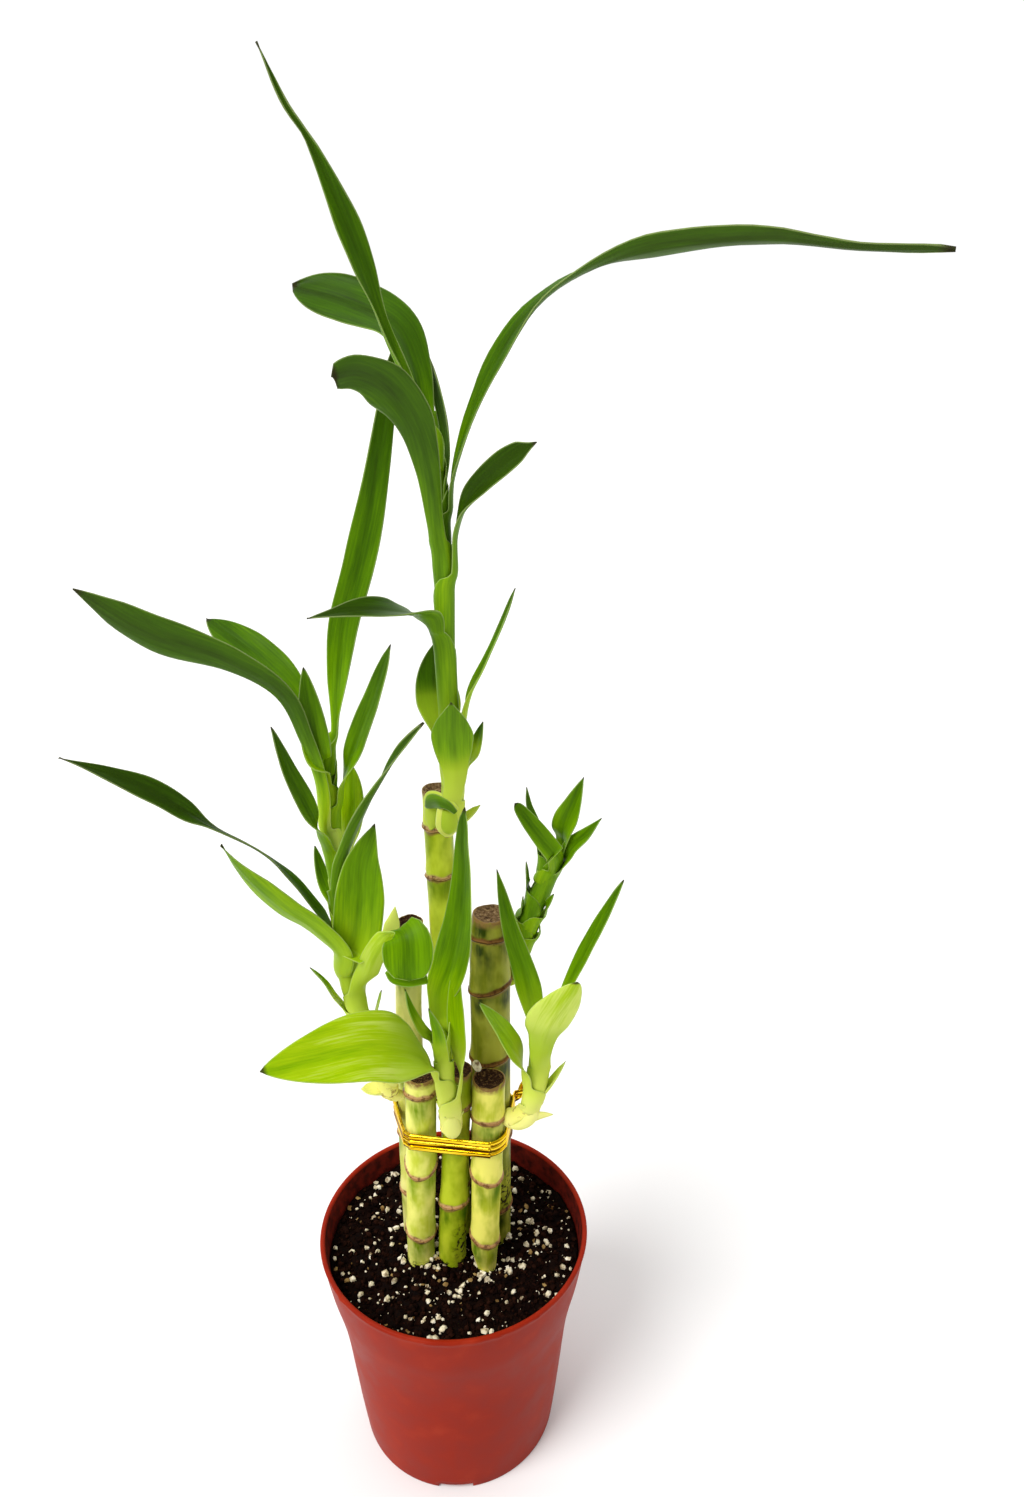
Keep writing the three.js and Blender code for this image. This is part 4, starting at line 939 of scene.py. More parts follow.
# Leaves in the order they grow. clasp holds the heights of a leaf's grip, side the way it leaves
# its shoot in degrees, width its breadth in mm, and neck the share of it at the neck. points are
# where its middle line runs, and face the way that its upper side looks at shares of its length.
# tone is the colour of its two faces from deep (0) to pale green (1), paler what is added to both
# at the sleeve, and tipless a leaf whose dry tip is out of sight. bend is how round its section
# is, or arcs at shares of its length, and wave how far its margins wave, in mm. A plain lance is
# widest at a share of its length and the fuller the higher blunt is, and where that won't do,
# outline holds its half widths.
LEAVES = {
    "top": [
        dict(clasp=(241, 246), side=-90, width=11.6, neck=0.5, widest=0.72, bend=0.35,
             tone=(0.5, 0.52), points=[(5, -9.6, 257), (4.8, -12, 268), (5, -16, 281.5)],
             outline=[(0.3, 2.9), (0.45, 3.6), (0.62, 5.2), (0.72, 5.7), (0.83, 4.4), (0.93, 2)],
             face=[(0.6, 0, 1, 0.3), (1, 0, 0.9, 0.6)]),
        dict(clasp=(250, 253.5), side=10, width=5.6, neck=0.8, widest=0.5, tone=(0.4, 0.5),
             points=[(10.4, -1.4, 262), (12.6, 1.5, 269)],
             face=[(0.6, -0.7, -0.6, 0.4), (1, -0.7, -0.5, 0.5)]),
        dict(clasp=(257, 260.5), side=115, width=12.5, neck=0.6, widest=0.5, bend=0.3,
             tone=(0.2, 0.28), paler=0, points=[(0.6, 4.5, 271), (-0.8, 11, 278), (-0.4, 18, 287)],
             face=[(0.5, 0.2, -0.9, 0.5), (1, 0.1, -0.7, 0.7)]),
        dict(clasp=(264, 267.5), side=-12, width=5, neck=0.9, widest=0.35, bend=0.8, tone=(0.4, 0.6),
             points=[(9.6, -3.4, 279), (13.6, -0.6, 287), (18.6, 5, 297), (21.6, 9, 304.5)],
             outline=[(0.2, 2.9), (0.35, 2.5), (0.55, 1.5), (0.8, 1.15), (0.93, 0.8)],
             face=[(0.5, -0.8, -0.4, 0.4), (1, -0.7, -0.4, 0.5)]),
        dict(clasp=(288, 292.5), side=-150, width=12, neck=0.8, widest=0.45, bend=0.6, wave=0.5,
             tone=(0.08, 0.2),
             points=[(-2.6, -7.4, 301.4), (-8, -13, 304.5), (-17, -20, 306.8), (-28, -26.5, 307)],
             outline=[(0.28, 5.2), (0.45, 5.6), (0.6, 4.8), (0.75, 3.2), (0.88, 1.5), (0.95, 0.8)],
             face=[(0.3, 0, 0.2, 1), (0.7, 0.1, -0.3, 1), (1, 0, -0.2, 1)]),
        dict(clasp=(303, 308), side=-20, width=8.4, neck=0.5, widest=0.72, bend=0.85,
             tone=(0.06, 0.26),
             points=[(7, -2.6, 322), (10.6, -5.5, 331), (18.4, -11.5, 339.5), (26.6, -16, 346)],
             outline=[(0.28, 1.8), (0.4, 2.9), (0.55, 3.5), (0.8, 3.9), (0.9, 3.2), (0.96, 1.2)],
             face=[(0.4, -0.9, 0, 0.3), (0.7, -0.4, -0.8, 0.5), (1, -0.3, -0.8, 0.5)]),
        dict(clasp=(312, 316.5), side=-105, width=17, neck=0.3, widest=0.7, bend=0.3, wave=0.5,
             tone=(0.2, 0.2),
             points=[(1.4, -4.8, 326), (0.4, -7.5, 338.5), (-2.2, -11.5, 350), (-7.5, -18, 358.6),
                     (-12.8, -25.5, 362.2), (-17.2, -32, 361.8)],
             outline=[(0.2, 2.3), (0.34, 2.8), (0.48, 4), (0.6, 5.4), (0.72, 5.6), (0.84, 4.2),
                      (0.94, 3.3), (0.985, 2.5)],
             face=[(0.3, 0, 1, 0.3), (0.55, 0.1, 0.9, 0.5), (0.75, -0.5, 0.7, 0.4),
                   (0.9, -0.75, 0.6, 0.25), (1, -0.8, 0.55, 0.1)]),
        dict(clasp=(320, 324), side=-8, width=9, neck=0.46, widest=0.66, bend=0.5, wave=0.7,
             tone=(0.12, 0.1),
             points=[(6.6, 0, 336), (12.4, -2, 353), (21, -5, 368.5), (30, -8, 378), (43, -12, 384.4),
                     (59, -17, 387.6), (76, -22, 388.4), (94, -27.5, 386.4), (111.5, -32, 386)],
             outline=[(0.08, 2.4), (0.18, 2.8), (0.3, 3.8), (0.4, 3.7), (0.5, 3.5), (0.62, 4.4),
                      (0.72, 4.2), (0.82, 2.6), (0.9, 1.5), (0.95, 1.3), (0.985, 0.7)],
             face=[(0.15, -0.8, -0.3, 0.5), (0.3, -0.6, -0.7, 0.5), (0.45, -0.3, -0.25, 1),
                   (0.6, 0, 0.6, 0.7), (0.85, 0, 0.5, 0.85), (1, 0, 0.4, 0.9)]),
        dict(clasp=(327.5, 330.5), side=75, width=4.6, neck=0.7, widest=0.5, bend=0.8,
             tone=(0.1, 0.12), points=[(4.4, 8.4, 344), (2.4, 14, 354), (-0.6, 21, 363)],
             face=[(0.5, -0.9, -0.5, 0.3), (1, -0.8, -0.4, 0.5)]),
        dict(clasp=(334, 338), side=125, width=15, neck=0.35, widest=0.68, bend=0.3, wave=0.7,
             blunt=3.2,
             points=[(-1.6, 8.6, 349), (-3.6, 13.5, 360), (-8.6, 20, 369.6), (-21, 29, 375),
                     (-37, 38, 379)],
             tone=(0.16, 0.22),
             face=[(0.3, 0.6, -0.6, 0.1), (0.6, 0.4, -0.85, 0.4), (0.8, 0.3, -0.85, 0.5),
                   (1, 0.1, -0.6, 0.8)]),
        dict(clasp=(342, 346), side=190, width=8, neck=0.56, widest=0.58, bend=0.45, wave=0.3,
             tone=(0.22, 0.3),
             points=[(-4.4, 1.2, 357), (-9.6, 0, 371), (-15, -3, 389), (-22, -6, 407),
                     (-27.6, -8, 416), (-32, -9, 426.5)],
             outline=[(0.12, 2.8), (0.26, 2.4), (0.36, 2), (0.48, 3.1), (0.56, 3.3), (0.66, 2.3),
                      (0.76, 1.15), (0.8, 0.7), (0.9, 0.75), (0.96, 0.45)],
             arcs=[(0.12, 1.5), (0.34, 1.2), (0.5, 0.5)],
             face=[(0.3, 0.7, -0.7, 0.2), (0.55, 0.5, -0.85, 0.1), (0.8, 0.2, -1, 0),
                   (1, 0.8, -0.5, 0)]),
    ],
    "left": [
        dict(clasp=(172, 175), side=0, width=3.4, neck=0.9, widest=0.3, tone=(0.85, 0.9),
             points=[(-19.4, -11, 184), (-18, -12, 190)], face=[(1, -0.8, -0.4, 0.4)]),
        dict(clasp=(178, 181), side=178, width=2.8, neck=0.9, widest=0.4, bend=0.8, tone=(0.7, 0.75),
             points=[(-31.6, -13.6, 189), (-33.4, -18, 197.6), (-36, -22, 205)],
             face=[(0.6, 0.6, -0.4, 0.8), (1, 0.3, -0.3, 0.9)]),
        dict(clasp=(184, 187.5), side=-45, width=14, neck=0.56, widest=0.76, bend=0.35,
             tone=(0.48, 0.86), tipless=True,
             points=[(-21.8, -16.8, 197.5), (-18.4, -20.6, 207.6), (-13.6, -25.8, 217.4),
                     (-9, -31, 223.2), (-7.2, -34.4, 222.6), (-6.8, -37, 217.2), (-6.7, -38, 211.8)],
             outline=[(0.23, 3.6), (0.41, 3.3), (0.6, 2.8), (0.7, 1.8), (0.745, 2), (0.765, 3.8),
                      (0.79, 5.4), (0.82, 6.4), (0.86, 6.9), (0.9, 6.7), (0.94, 5.8), (0.97, 4.6),
                      (0.99, 3.2)],
             face=[(0.3, 0.2, 1, 0.3), (0.55, 0.3, 0.8, 0.5), (0.68, 0.1, 0.2, 1), (0.74, 0, -0.3, 1),
                   (0.79, 0, -0.95, 0.4), (1, 0, -0.95, 0.4)]),
        dict(clasp=(191, 194.5), side=-140, width=11, neck=0.82, widest=0.5, bend=0.4, wave=0.5,
             tone=(0.45, 0.62), paler=0,
             points=[(-29, -17, 206.5), (-34.4, -21, 217.6), (-40.4, -24.5, 225.2),
                     (-46.4, -28.5, 235.2), (-49.8, -31.5, 242.6), (-52.6, -35, 250.8)],
             outline=[(0.15, 4.8), (0.35, 4.6), (0.55, 4.6), (0.7, 4), (0.82, 2.6), (0.9, 1.5)],
             face=[(0.35, 0.3, 0.95, 0.2), (0.7, 0.4, 0.9, 0.1), (1, 0.5, 0.8, 0)]),
        dict(clasp=(197, 199.5), side=-75, width=15.5, neck=0.6, widest=0.55, bend=0.45,
             tone=(0.5, 0.72),
             points=[(-23.4, -15.4, 211), (-21.6, -17.4, 223), (-19.6, -19, 237), (-15.8, -20, 248.8)],
             outline=[(0.14, 5.2), (0.24, 6.6), (0.36, 7.2), (0.52, 7.1), (0.7, 5.8), (0.86, 3.2),
                      (0.95, 1.3)],
             face=[(0.2, 0, -0.9, 0.5), (0.7, 0.05, -0.9, 0.4), (1, 0, -0.9, 0.4)]),
        dict(clasp=(205, 208.5), side=172, width=7, neck=0.3, widest=0.76, bend=0.4, wave=0.5,
             tone=(0.1, 0.14),
             points=[(-34.6, -13, 219), (-40, -17, 231), (-47, -21.6, 242), (-57, -28, 252.5),
                     (-66, -34, 264), (-76, -39.5, 272.6), (-85, -44, 279)],
             outline=[(0.12, 1.9), (0.28, 1.7), (0.42, 0.9), (0.56, 1.3), (0.66, 2.8), (0.78, 3.3),
                      (0.88, 2.2), (0.95, 0.9)],
             face=[(0.25, 0.6, -0.5, 0.6), (0.5, 0.2, 0.6, 0.8), (0.7, 0.2, -0.6, 0.8),
                   (1, 0.2, -0.6, 0.8)]),
        dict(clasp=(212, 215), side=130, width=4.8, neck=0.9, widest=0.45, tone=(0.35, 0.45),
             points=[(-33.6, -5.6, 224), (-36, -1, 232)],
             face=[(0.6, 0.7, -0.7, 0.3), (1, 0.5, -0.7, 0.4)]),
        dict(clasp=(218.5, 222), side=-85, width=4.8, neck=0.8, widest=0.6, bend=0.7, wave=0.5,
             tone=(0.2, 0.28),
             points=[(-26, -18, 236), (-20.6, -22, 249), (-13.6, -27.6, 263), (-7, -32.6, 275),
                     (-0.4, -37, 284.5)],
             face=[(0.35, -0.4, 0.6, 0.7), (0.6, -0.7, 0.2, 0.6), (1, -0.7, -0.4, 0.6)]),
        dict(clasp=(225.5, 228), side=25, width=8.4, neck=0.6, widest=0.6, tone=(0.78, 0.8),
             points=[(-24.6, -7.4, 238), (-23.6, -5, 247), (-24, 1, 256)],
             face=[(0.5, -0.5, -0.8, 0.2), (1, -0.2, -0.8, 0.5)]),
        dict(clasp=(231, 234), side=-110, width=6.2, neck=0.7, widest=0.5, bend=0.6, tone=(0.3, 0.38),
             points=[(-30.8, -16.8, 243), (-33.4, -19.4, 253), (-37, -23.4, 267), (-39, -27, 279.5)],
             face=[(0.5, 0.6, -0.6, 0.5), (1, 0.6, -0.5, 0.5)]),
        dict(clasp=(237.5, 241), side=-125, width=9.6, neck=0.55, widest=0.66, bend=0.4, wave=0.5,
             tone=(0.2, 0.18), paler=0.7,
             points=[(-30, -15.5, 258), (-32.4, -18, 272), (-36.8, -21, 286), (-47.5, -26, 296.3),
                     (-63.9, -31.5, 305.2), (-78.4, -36, 317.2)],
             outline=[(0.14, 2.4), (0.25, 2), (0.38, 2.1), (0.5, 2.7), (0.58, 3.4), (0.66, 4.2),
                      (0.78, 5.2), (0.88, 4.2), (0.95, 2)],
             face=[(0.25, 0.2, 0.9, 0.3), (0.5, 0.3, 0.9, 0.1), (0.8, 0.3, 0.95, -0.1),
                   (1, 0.3, 0.95, -0.2)]),
        dict(clasp=(244.5, 247.5), side=-15, width=7, neck=0.6, widest=0.55, bend=0.4,
             tone=(0.34, 0.45),
             points=[(-24.6, -11.4, 257), (-20, -15, 270), (-14.4, -19, 284), (-9, -22, 299)],
             outline=[(0.2, 2.6), (0.4, 3.3), (0.6, 3.1), (0.8, 2.3), (0.93, 1.3)],
             face=[(0.5, -0.5, -0.85, 0.3), (1, -0.5, -0.8, 0.4)]),
        dict(clasp=(250.5, 253.5), side=-110, width=7.6, neck=0.7, widest=0.5, tone=(0.4, 0.45),
             points=[(-30.2, -15.4, 266.5), (-31, -16.4, 279.5), (-32, -15.6, 291)],
             face=[(0.5, 0.2, -1, 0.1), (1, 0.2, -1, 0)]),
        dict(clasp=(256.5, 260), side=115, width=12, neck=0.42, widest=0.62, bend=0.35, wave=0.4,
             blunt=2.6,
             points=[(-34, -2, 266), (-40.4, 4.6, 277.4), (-52.5, 16, 284.4), (-67, 27, 291)],
             tone=(0.3, 0.34),
             face=[(0.35, 0.5, -0.6, 0.5), (0.6, 0.3, -0.7, 0.7), (1, 0.2, -0.7, 0.7)]),
        dict(clasp=(263, 266.5), side=35, width=9, neck=0.5, widest=0.5, bend=0.35, wave=0.6,
             tone=(0.26, 0.3),
             points=[(-26, -4, 276), (-23.6, -1, 296), (-18.4, 1.4, 314), (-14, 4, 332),
                     (-10.2, 6.5, 352), (-8, 9, 366)],
             outline=[(0.2, 3.4), (0.36, 4.4), (0.52, 4.4), (0.7, 3.3), (0.85, 2.4), (0.95, 1.4)],
             face=[(0.3, -0.3, -1, 0), (0.6, -0.1, -1, 0), (1, 0.2, -1, 0)]),
    ],
    "front": [
        dict(clasp=(148, 152), side=-8, width=6.4, neck=0.85, widest=0.55, bend=0.5, tone=(0.72, 0.78),
             points=[(5, -16, 163), (4.2, -15.4, 178), (4, -15.6, 192), (4.6, -16, 204)],
             face=[(0.5, -0.5, -0.8, 0.2), (1, -0.4, -0.9, 0.2)]),
        dict(clasp=(156, 160), side=-150, width=21, neck=0.28, widest=0.52, bend=0.35,
             tone=(0.84, 0.85),
             points=[(-4.6, -22, 172), (-10, -28.6, 181.5), (-20, -37, 189), (-32, -46, 192.6),
                     (-44, -54.5, 196)],
             face=[(0.3, 0.3, -0.2, 0.9), (0.5, 0, -0.6, 0.8), (1, 0.1, -0.6, 0.8)]),
        dict(clasp=(163.5, 166), side=-85, width=4.6, neck=0.8, widest=0.4, tone=(0.55, 0.62),
             points=[(-0.6, -22.4, 176), (-1, -25, 185), (-3, -27.4, 195)],
             face=[(0.5, 0.2, 0.9, 0.5), (1, 0.2, 0.9, 0.5)]),
        dict(clasp=(169.5, 172), side=165, width=3.8, neck=0.8, widest=0.4, tone=(0.6, 0.7),
             points=[(-6.2, -17.2, 180), (-8.8, -18.8, 188), (-10.2, -19.8, 196)],
             face=[(0.5, 0.9, -0.5, 0.2), (1, 0.9, -0.5, 0.2)]),
        dict(clasp=(175, 178), side=95, width=12, neck=0.6, widest=0.4, bend=0.5, wave=0.4,
             tone=(0.38, 0.6), paler=0.36,
             points=[(-0.6, -13.4, 190), (2.8, -16, 202), (5.8, -19, 217), (7.4, -21.6, 234),
                     (7.6, -22.4, 245), (8.2, -23, 255)],
             outline=[(0.14, 3.6), (0.26, 5.3), (0.4, 5.4), (0.56, 4.6), (0.7, 4), (0.8, 3.4),
                      (0.88, 2.6), (0.95, 1.7)],
             face=[(0.3, -0.2, -1, 0.3), (0.6, -0.5, -0.8, 0.3), (1, -0.6, -0.6, 0.2)]),
    ],
    "right": [
        dict(clasp=(150.5, 153.5), side=-155, width=8, neck=0.85, widest=0.55, tone=(0.7, 0.76),
             points=[(22.7, -15.5, 166), (19.2, -18.5, 176.3), (15, -22, 186.5), (10.8, -26, 196)],
             outline=[(0.25, 4), (0.42, 4.6), (0.6, 4.1), (0.78, 2.6), (0.92, 1.1)],
             face=[(0.5, 0.5, -0.4, 0.7), (1, 0.4, -0.5, 0.7)]),
        dict(clasp=(157, 160.5), side=-80, width=16, neck=0.4, widest=0.6, bend=0.4, tone=(0.7, 1),
             points=[(28.4, -19.4, 171.5), (29, -21.2, 179), (31, -24.2, 188), (34, -27.5, 196.4),
                     (37.7, -31.5, 206.5)],
             outline=[(0.3, 3.4), (0.44, 4.4), (0.54, 6.6), (0.63, 7.2), (0.72, 6.8), (0.82, 5.4),
                      (0.91, 3.6), (0.97, 1.8)],
             face=[(0.35, 0, 1, 0.2), (0.6, -0.1, 0.95, 0.3), (1, -0.2, 0.9, 0.4)]),
        dict(clasp=(164, 167), side=125, width=8.4, neck=0.5, widest=0.4, bend=0.4, tone=(0.48, 0.6),
             points=[(26.8, -7.4, 176), (24.4, -5.6, 190), (19.8, -4.8, 207), (16, -4.6, 226)],
             outline=[(0.2, 2.8), (0.38, 3.9), (0.55, 3.4), (0.75, 2.3), (0.9, 1.2)],
             face=[(0.5, -0.2, -1, 0.1), (1, -0.2, -1, 0.1)]),
        dict(clasp=(170, 173), side=20, width=6.2, neck=0.6, widest=0.55, bend=0.6, tone=(0.44, 0.6),
             points=[(33.6, -9.4, 180), (38.4, -8, 192), (45.4, -6, 207), (52.4, -4, 222)],
             face=[(0.5, -0.8, -0.4, 0.4), (1, -0.7, -0.5, 0.4)]),
    ],
}


def towards(bearing):
    """The level direction at a bearing in degrees."""
    return np.array([math.cos(math.radians(bearing)), math.sin(math.radians(bearing)), 0])


def lance(widest, half, blunt):
    """The outline of a plain leaf: broadest at widest, then tapered to its tip."""
    shares = (0, 0.25, 0.45, 0.62, 0.78, 0.9, 0.965)
    return [(widest + (1 - widest) * u, half * (1 - u**blunt) ** 0.8) for u in shares]


def seat_on(shoot, leaf, z, further):
    """A point of a leaf's spine against its shoot, the way to the shoot, and the distance."""
    side = towards(leaf["side"])
    centre, tangent, radius = shoot_at(shoot, z)
    away = unit(side - tangent * side.dot(tangent))
    return centre + away * (radius + further), -away, radius + further


def build_leaf(shoot, leaf, below, seed, paler=0.24):
    """One leaf. Its sleeve starts inside the mouth of the sleeve below, which ends at below."""
    z0, z1 = leaf["clasp"]
    seats = [
        seat_on(shoot, leaf, below - 1.5, -0.1), seat_on(shoot, leaf, z0, 0.35),
        seat_on(shoot, leaf, z1, 0.55), seat_on(shoot, leaf, z1 + 3.5, 1.5),
    ]
    curve = spline([s[0] for s in seats] + leaf["points"], 20)
    lengths = lengths_along(curve)
    low, clasp, shoulder = (lengths[20 * i] / lengths[-1] for i in (1, 2, 3))
    half = leaf["width"] / 2
    neck = half * leaf["neck"]
    outline = leaf.get("outline") or lance(leaf["widest"], half, leaf.get("blunt", 1.8))
    bend = leaf.get("bend", 0.4)
    blade = [(low + t * (1 - low), w) for t, w in outline]
    blade = [(t, w) for t, w in blade if t > shoulder + 0.02]
    halves = [(t, wrap * seat[2]) for t, wrap, seat in zip((0, low, clasp), WRAPS, seats)]
    halves += [(shoulder, neck), *blade, (1, 0.05)]
    arcs = [*zip((0, low, clasp), WRAPS), (shoulder, min(1.9, neck / seats[3][2]))]
    arcs += [(low + t * (1 - low), a) for t, a in leaf.get("arcs", [(leaf["widest"], bend)])] + [(1, bend)]
    faces = [(t, seat[1]) for t, seat in zip((0, low, clasp, shoulder), seats)]
    faces += [(low + t * (1 - low), unit(np.array([x, y, z], float))) for t, x, y, z in leaf["face"]]
    arcs = [key for i, key in enumerate(arcs) if i < 4 or key[0] > shoulder + 0.02]
    faces = [key for i, key in enumerate(faces) if i < 4 or key[0] > shoulder + 0.02]

    shares = np.concatenate([
        np.linspace(0, shoulder, SLEEVE, endpoint=False), np.linspace(shoulder, 1, ALONG + 1),
    ])
    spine, length = evenly(curve, shares)
    half_at = np.maximum(flow(halves, shares), 0.05)
    arc_at = np.maximum(flow(arcs, shares), 0.08)
    face_at = unit(flow(faces, shares))
    # how free of its sleeve the blade is, along its length
    free = smoothstep(shares, shoulder, shoulder + 0.2)
    swing = leaf.get("wave", 0) * np.sin(9 * shares + leaf["side"]) * free
    relief = np.outer(swing, SPREAD * np.abs(SPREAD))
    # the midrib is a shallow groove
    relief -= 0.05 * np.outer(half_at * free, np.exp(-((SPREAD / 0.16) ** 2)))
    for j, t in enumerate(shares):
        for i, across in enumerate(SPREAD):
            lift = noise.noise(Vector((length * t / 9, 3 * across, seed)))
            relief[j, i] += 0.3 * free[j] * across * abs(across) * lift
    surface = blade_surface(spine, face_at, half_at, arc_at, relief)

    green = np.array([green_share(shoot, p[2]) for p in spine])
    green = np.maximum(green, smoothstep(shares, clasp, shoulder + 0.5) * 0.999)
    upper, under = leaf["tone"]
    paler = leaf.get("paler", paler) * (1 - smoothstep(shares, clasp, shoulder + 0.38))
    # it darkens from the sleeve to the tip
    fade = 0.06 - 0.12 * smoothstep(shares, 0.4, 1) + paler
    bm = bmesh.new()
    spans = shares * (0.97 if leaf.get("tipless") else 1)
    marks = {"green": green, "tone": upper + fade, "under": under + fade}
    add_blade(bm, surface, half_at, length, spans, marks)
    return bm


def leaf_material(name, tone_name, veil):
    """A leaf face: veins side by side, painted shade along the midrib, a thin pale margin that is a painted
    highlight and a dry brown tip, under faint wax.
    """
    material, tree, shader = start_material(name)
    read = {
        key: add_node(tree, "Attribute", out="Fac", attribute_name=key)
        for key in ("span", "along", "across", "margin", "green", tone_name)
    }
    surface = add_node(tree, "CombineXYZ", {"X": read["across"], "Y": read["along"]})
    # streaks drawn out along the leaf: their width and length in mm, and their detail
    streaks = []
    for width, length, detail in [(0.5, 18, 2), (3.0, 26, 3)]:
        drawn = add_node(tree, "Mapping", {"Vector": surface, "Scale": (1 / width, 1 / length, 1)})
        streaks.append(add_node(tree, "TexNoise", {
            "Vector": drawn, "Scale": 1.0, "Detail": detail, "Roughness": 0.6,
        }))
    veins, bands = streaks
    shade = add_node(tree, "MapRange", {0: bands, 1: 0.3, 2: 0.7, 3: -0.11, 4: 0.11})
    fine = add_node(tree, "MapRange", {0: veins, 1: 0.3, 2: 0.7, 3: -0.06, 4: 0.06})
    # painted shade: the blade is darker along the groove of its midrib
    off_midrib = add_node(tree, "Math", {0: read["across"]}, operation="ABSOLUTE")
    midrib_shade = add_node(
        tree, "MapRange", {0: off_midrib, 1: 0, 2: 2.6, 3: -0.09, 4: 0.02},
        interpolation_type="SMOOTHSTEP",
    )
    level = shade
    for change in (fine, midrib_shade, read[tone_name]):
        level = add_node(tree, "Math", {0: level, 1: change}, operation="ADD")
    blade = add_node(tree, "ValToRGB", {0: level}, stops=[
        (0.0, "#2a4304"), (0.2, "#385c02"), (0.36, "#4d7501"), (0.52, "#669201"), (0.7, "#8cb401"),
        (0.86, "#a9c80a"), (1.0, "#cbdd5e"),
    ])
    sleeve = add_node(tree, "ValToRGB", {0: read["green"]}, stops=[
        (0.0, "#efeb8e"), (0.25, "#cddb54"), (0.6, "#a2bd24"), (1.0, "#7ba00a"),
    ])
    greened = add_node(
        tree, "MapRange", {0: read["green"], 1: 0.55, 2: 1.0}, interpolation_type="SMOOTHSTEP",
    )
    # painted highlight: a thin pale line along the margins
    margin_highlight = add_node(tree, "MapRange", {0: read["margin"], 1: 0.08, 2: 0.3, 3: 0.35, 4: 0})
    tip = add_node(tree, "MapRange", {0: read["span"], 1: 0.975, 2: 0.99, 4: 0.9})
    skin = sleeve
    for share, colour in [(greened, blade), (veil, "#a9bd7c"), (margin_highlight, "#b9c783"), (tip, "#2e2a17")]:
        skin = add_node(tree, "Mix", {0: share, 6: skin, 7: colour}, out=2, data_type="RGBA")
    bump = add_node(tree, "Bump", {"Height": veins, "Strength": 0.3, "Distance": 0.1 * MM})
    feed(tree, shader, {
        "Base Color": skin, "Normal": bump, "Roughness": 0.38, "Specular IOR Level": 0.05,
        "Subsurface Weight": 0.1, "Subsurface Radius": (0.5, 1.0, 0.1), "Subsurface Scale": 0.6 * MM,
    })
    return material


leaf_upper = leaf_material("leaf upper face", "tone", 0.0)
leaf_under = leaf_material("leaf underside", "under", 0.03)
BLADE_THICKNESS = 0.55
THINNEST = 0.3  # the least share of its thickness that a blade can have


def thicken(piece, thickness):
    """Gives blades their thickness, less at their margins, with the underside's own material."""
    piece.vertex_groups.new(name="thickness")
    shell = piece.modifiers.new("blade", "SOLIDIFY")
    shell.thickness = thickness * MM
    shell.offset = 0
    shell.vertex_group = "thickness"
    shell.thickness_vertex_group = THINNEST
    shell.material_offset = 1
    shell.material_offset_rim = 1


for shoot, leaves in LEAVES.items():
    # a shoot's first leaf has no sleeve below it and starts a little under its own grip
    below = leaves[0]["clasp"][0] - (0.5 if shoot == "top" else 4)
    for number, leaf in enumerate(leaves):
        bm = build_leaf(shoot, leaf, below, seed=31 * number + len(shoot))
        below = leaf["clasp"][1]
        piece = make_piece(
            f"blade_{shoot}_{number + 1:02d}", bm, [leaf_upper, leaf_under],
            [f"leaf_{shoot}_{number + 1:02d}"],
        )
        thicken(piece, BLADE_THICKNESS)

# ---------------------------------------------------------------------------------------------
# The scales and the young leaves: dry little sheaths at the root of each shoot, and the bunch of
# young leaves of the shoot behind. They grew out of their stems and stay of a piece with them.

# The height where each is rooted, the way it points in degrees, its width, how far it reaches and
# rises, how early it leans out, and its tone.
YOUNG_LEAVES = {
    "top": [
        dict(root=238, side=12, width=5, reach=8.8, rise=7, lean=0.9, tone=0.6),
    ],
    "left": [
        dict(root=148.6, side=190, width=7, reach=9, rise=3, lean=1, tone=0.95),
        dict(root=150, side=-80, width=8, reach=3.8, rise=8, lean=0.3, tone=0.95),
        dict(root=155, side=-30, width=7, reach=3.8, rise=10, lean=0.3, tone=0.9),
        dict(root=161, side=200, width=7, reach=4, rise=11, lean=0.3, tone=0.86),
    ],
    "front": [
        dict(root=140.6, side=-10, width=5, reach=4.2, rise=7, lean=0.2, tone=0.98),
        dict(root=140, side=-110, width=7, reach=4.2, rise=8, lean=0.1, tone=0.98),
        dict(root=142.5, side=190, width=7, reach=4.2, rise=9, lean=0.1, tone=0.95),
    ],
    "right": [
        dict(root=150, side=-3, width=5, reach=9, rise=14.5, lean=0.9, tone=0.92),
        dict(root=143.5, side=-120, width=6, reach=4, rise=6, lean=0.2, tone=1),
        dict(root=146, side=-70, width=7, reach=4, rise=9, lean=0.2, tone=1),
    ],
}
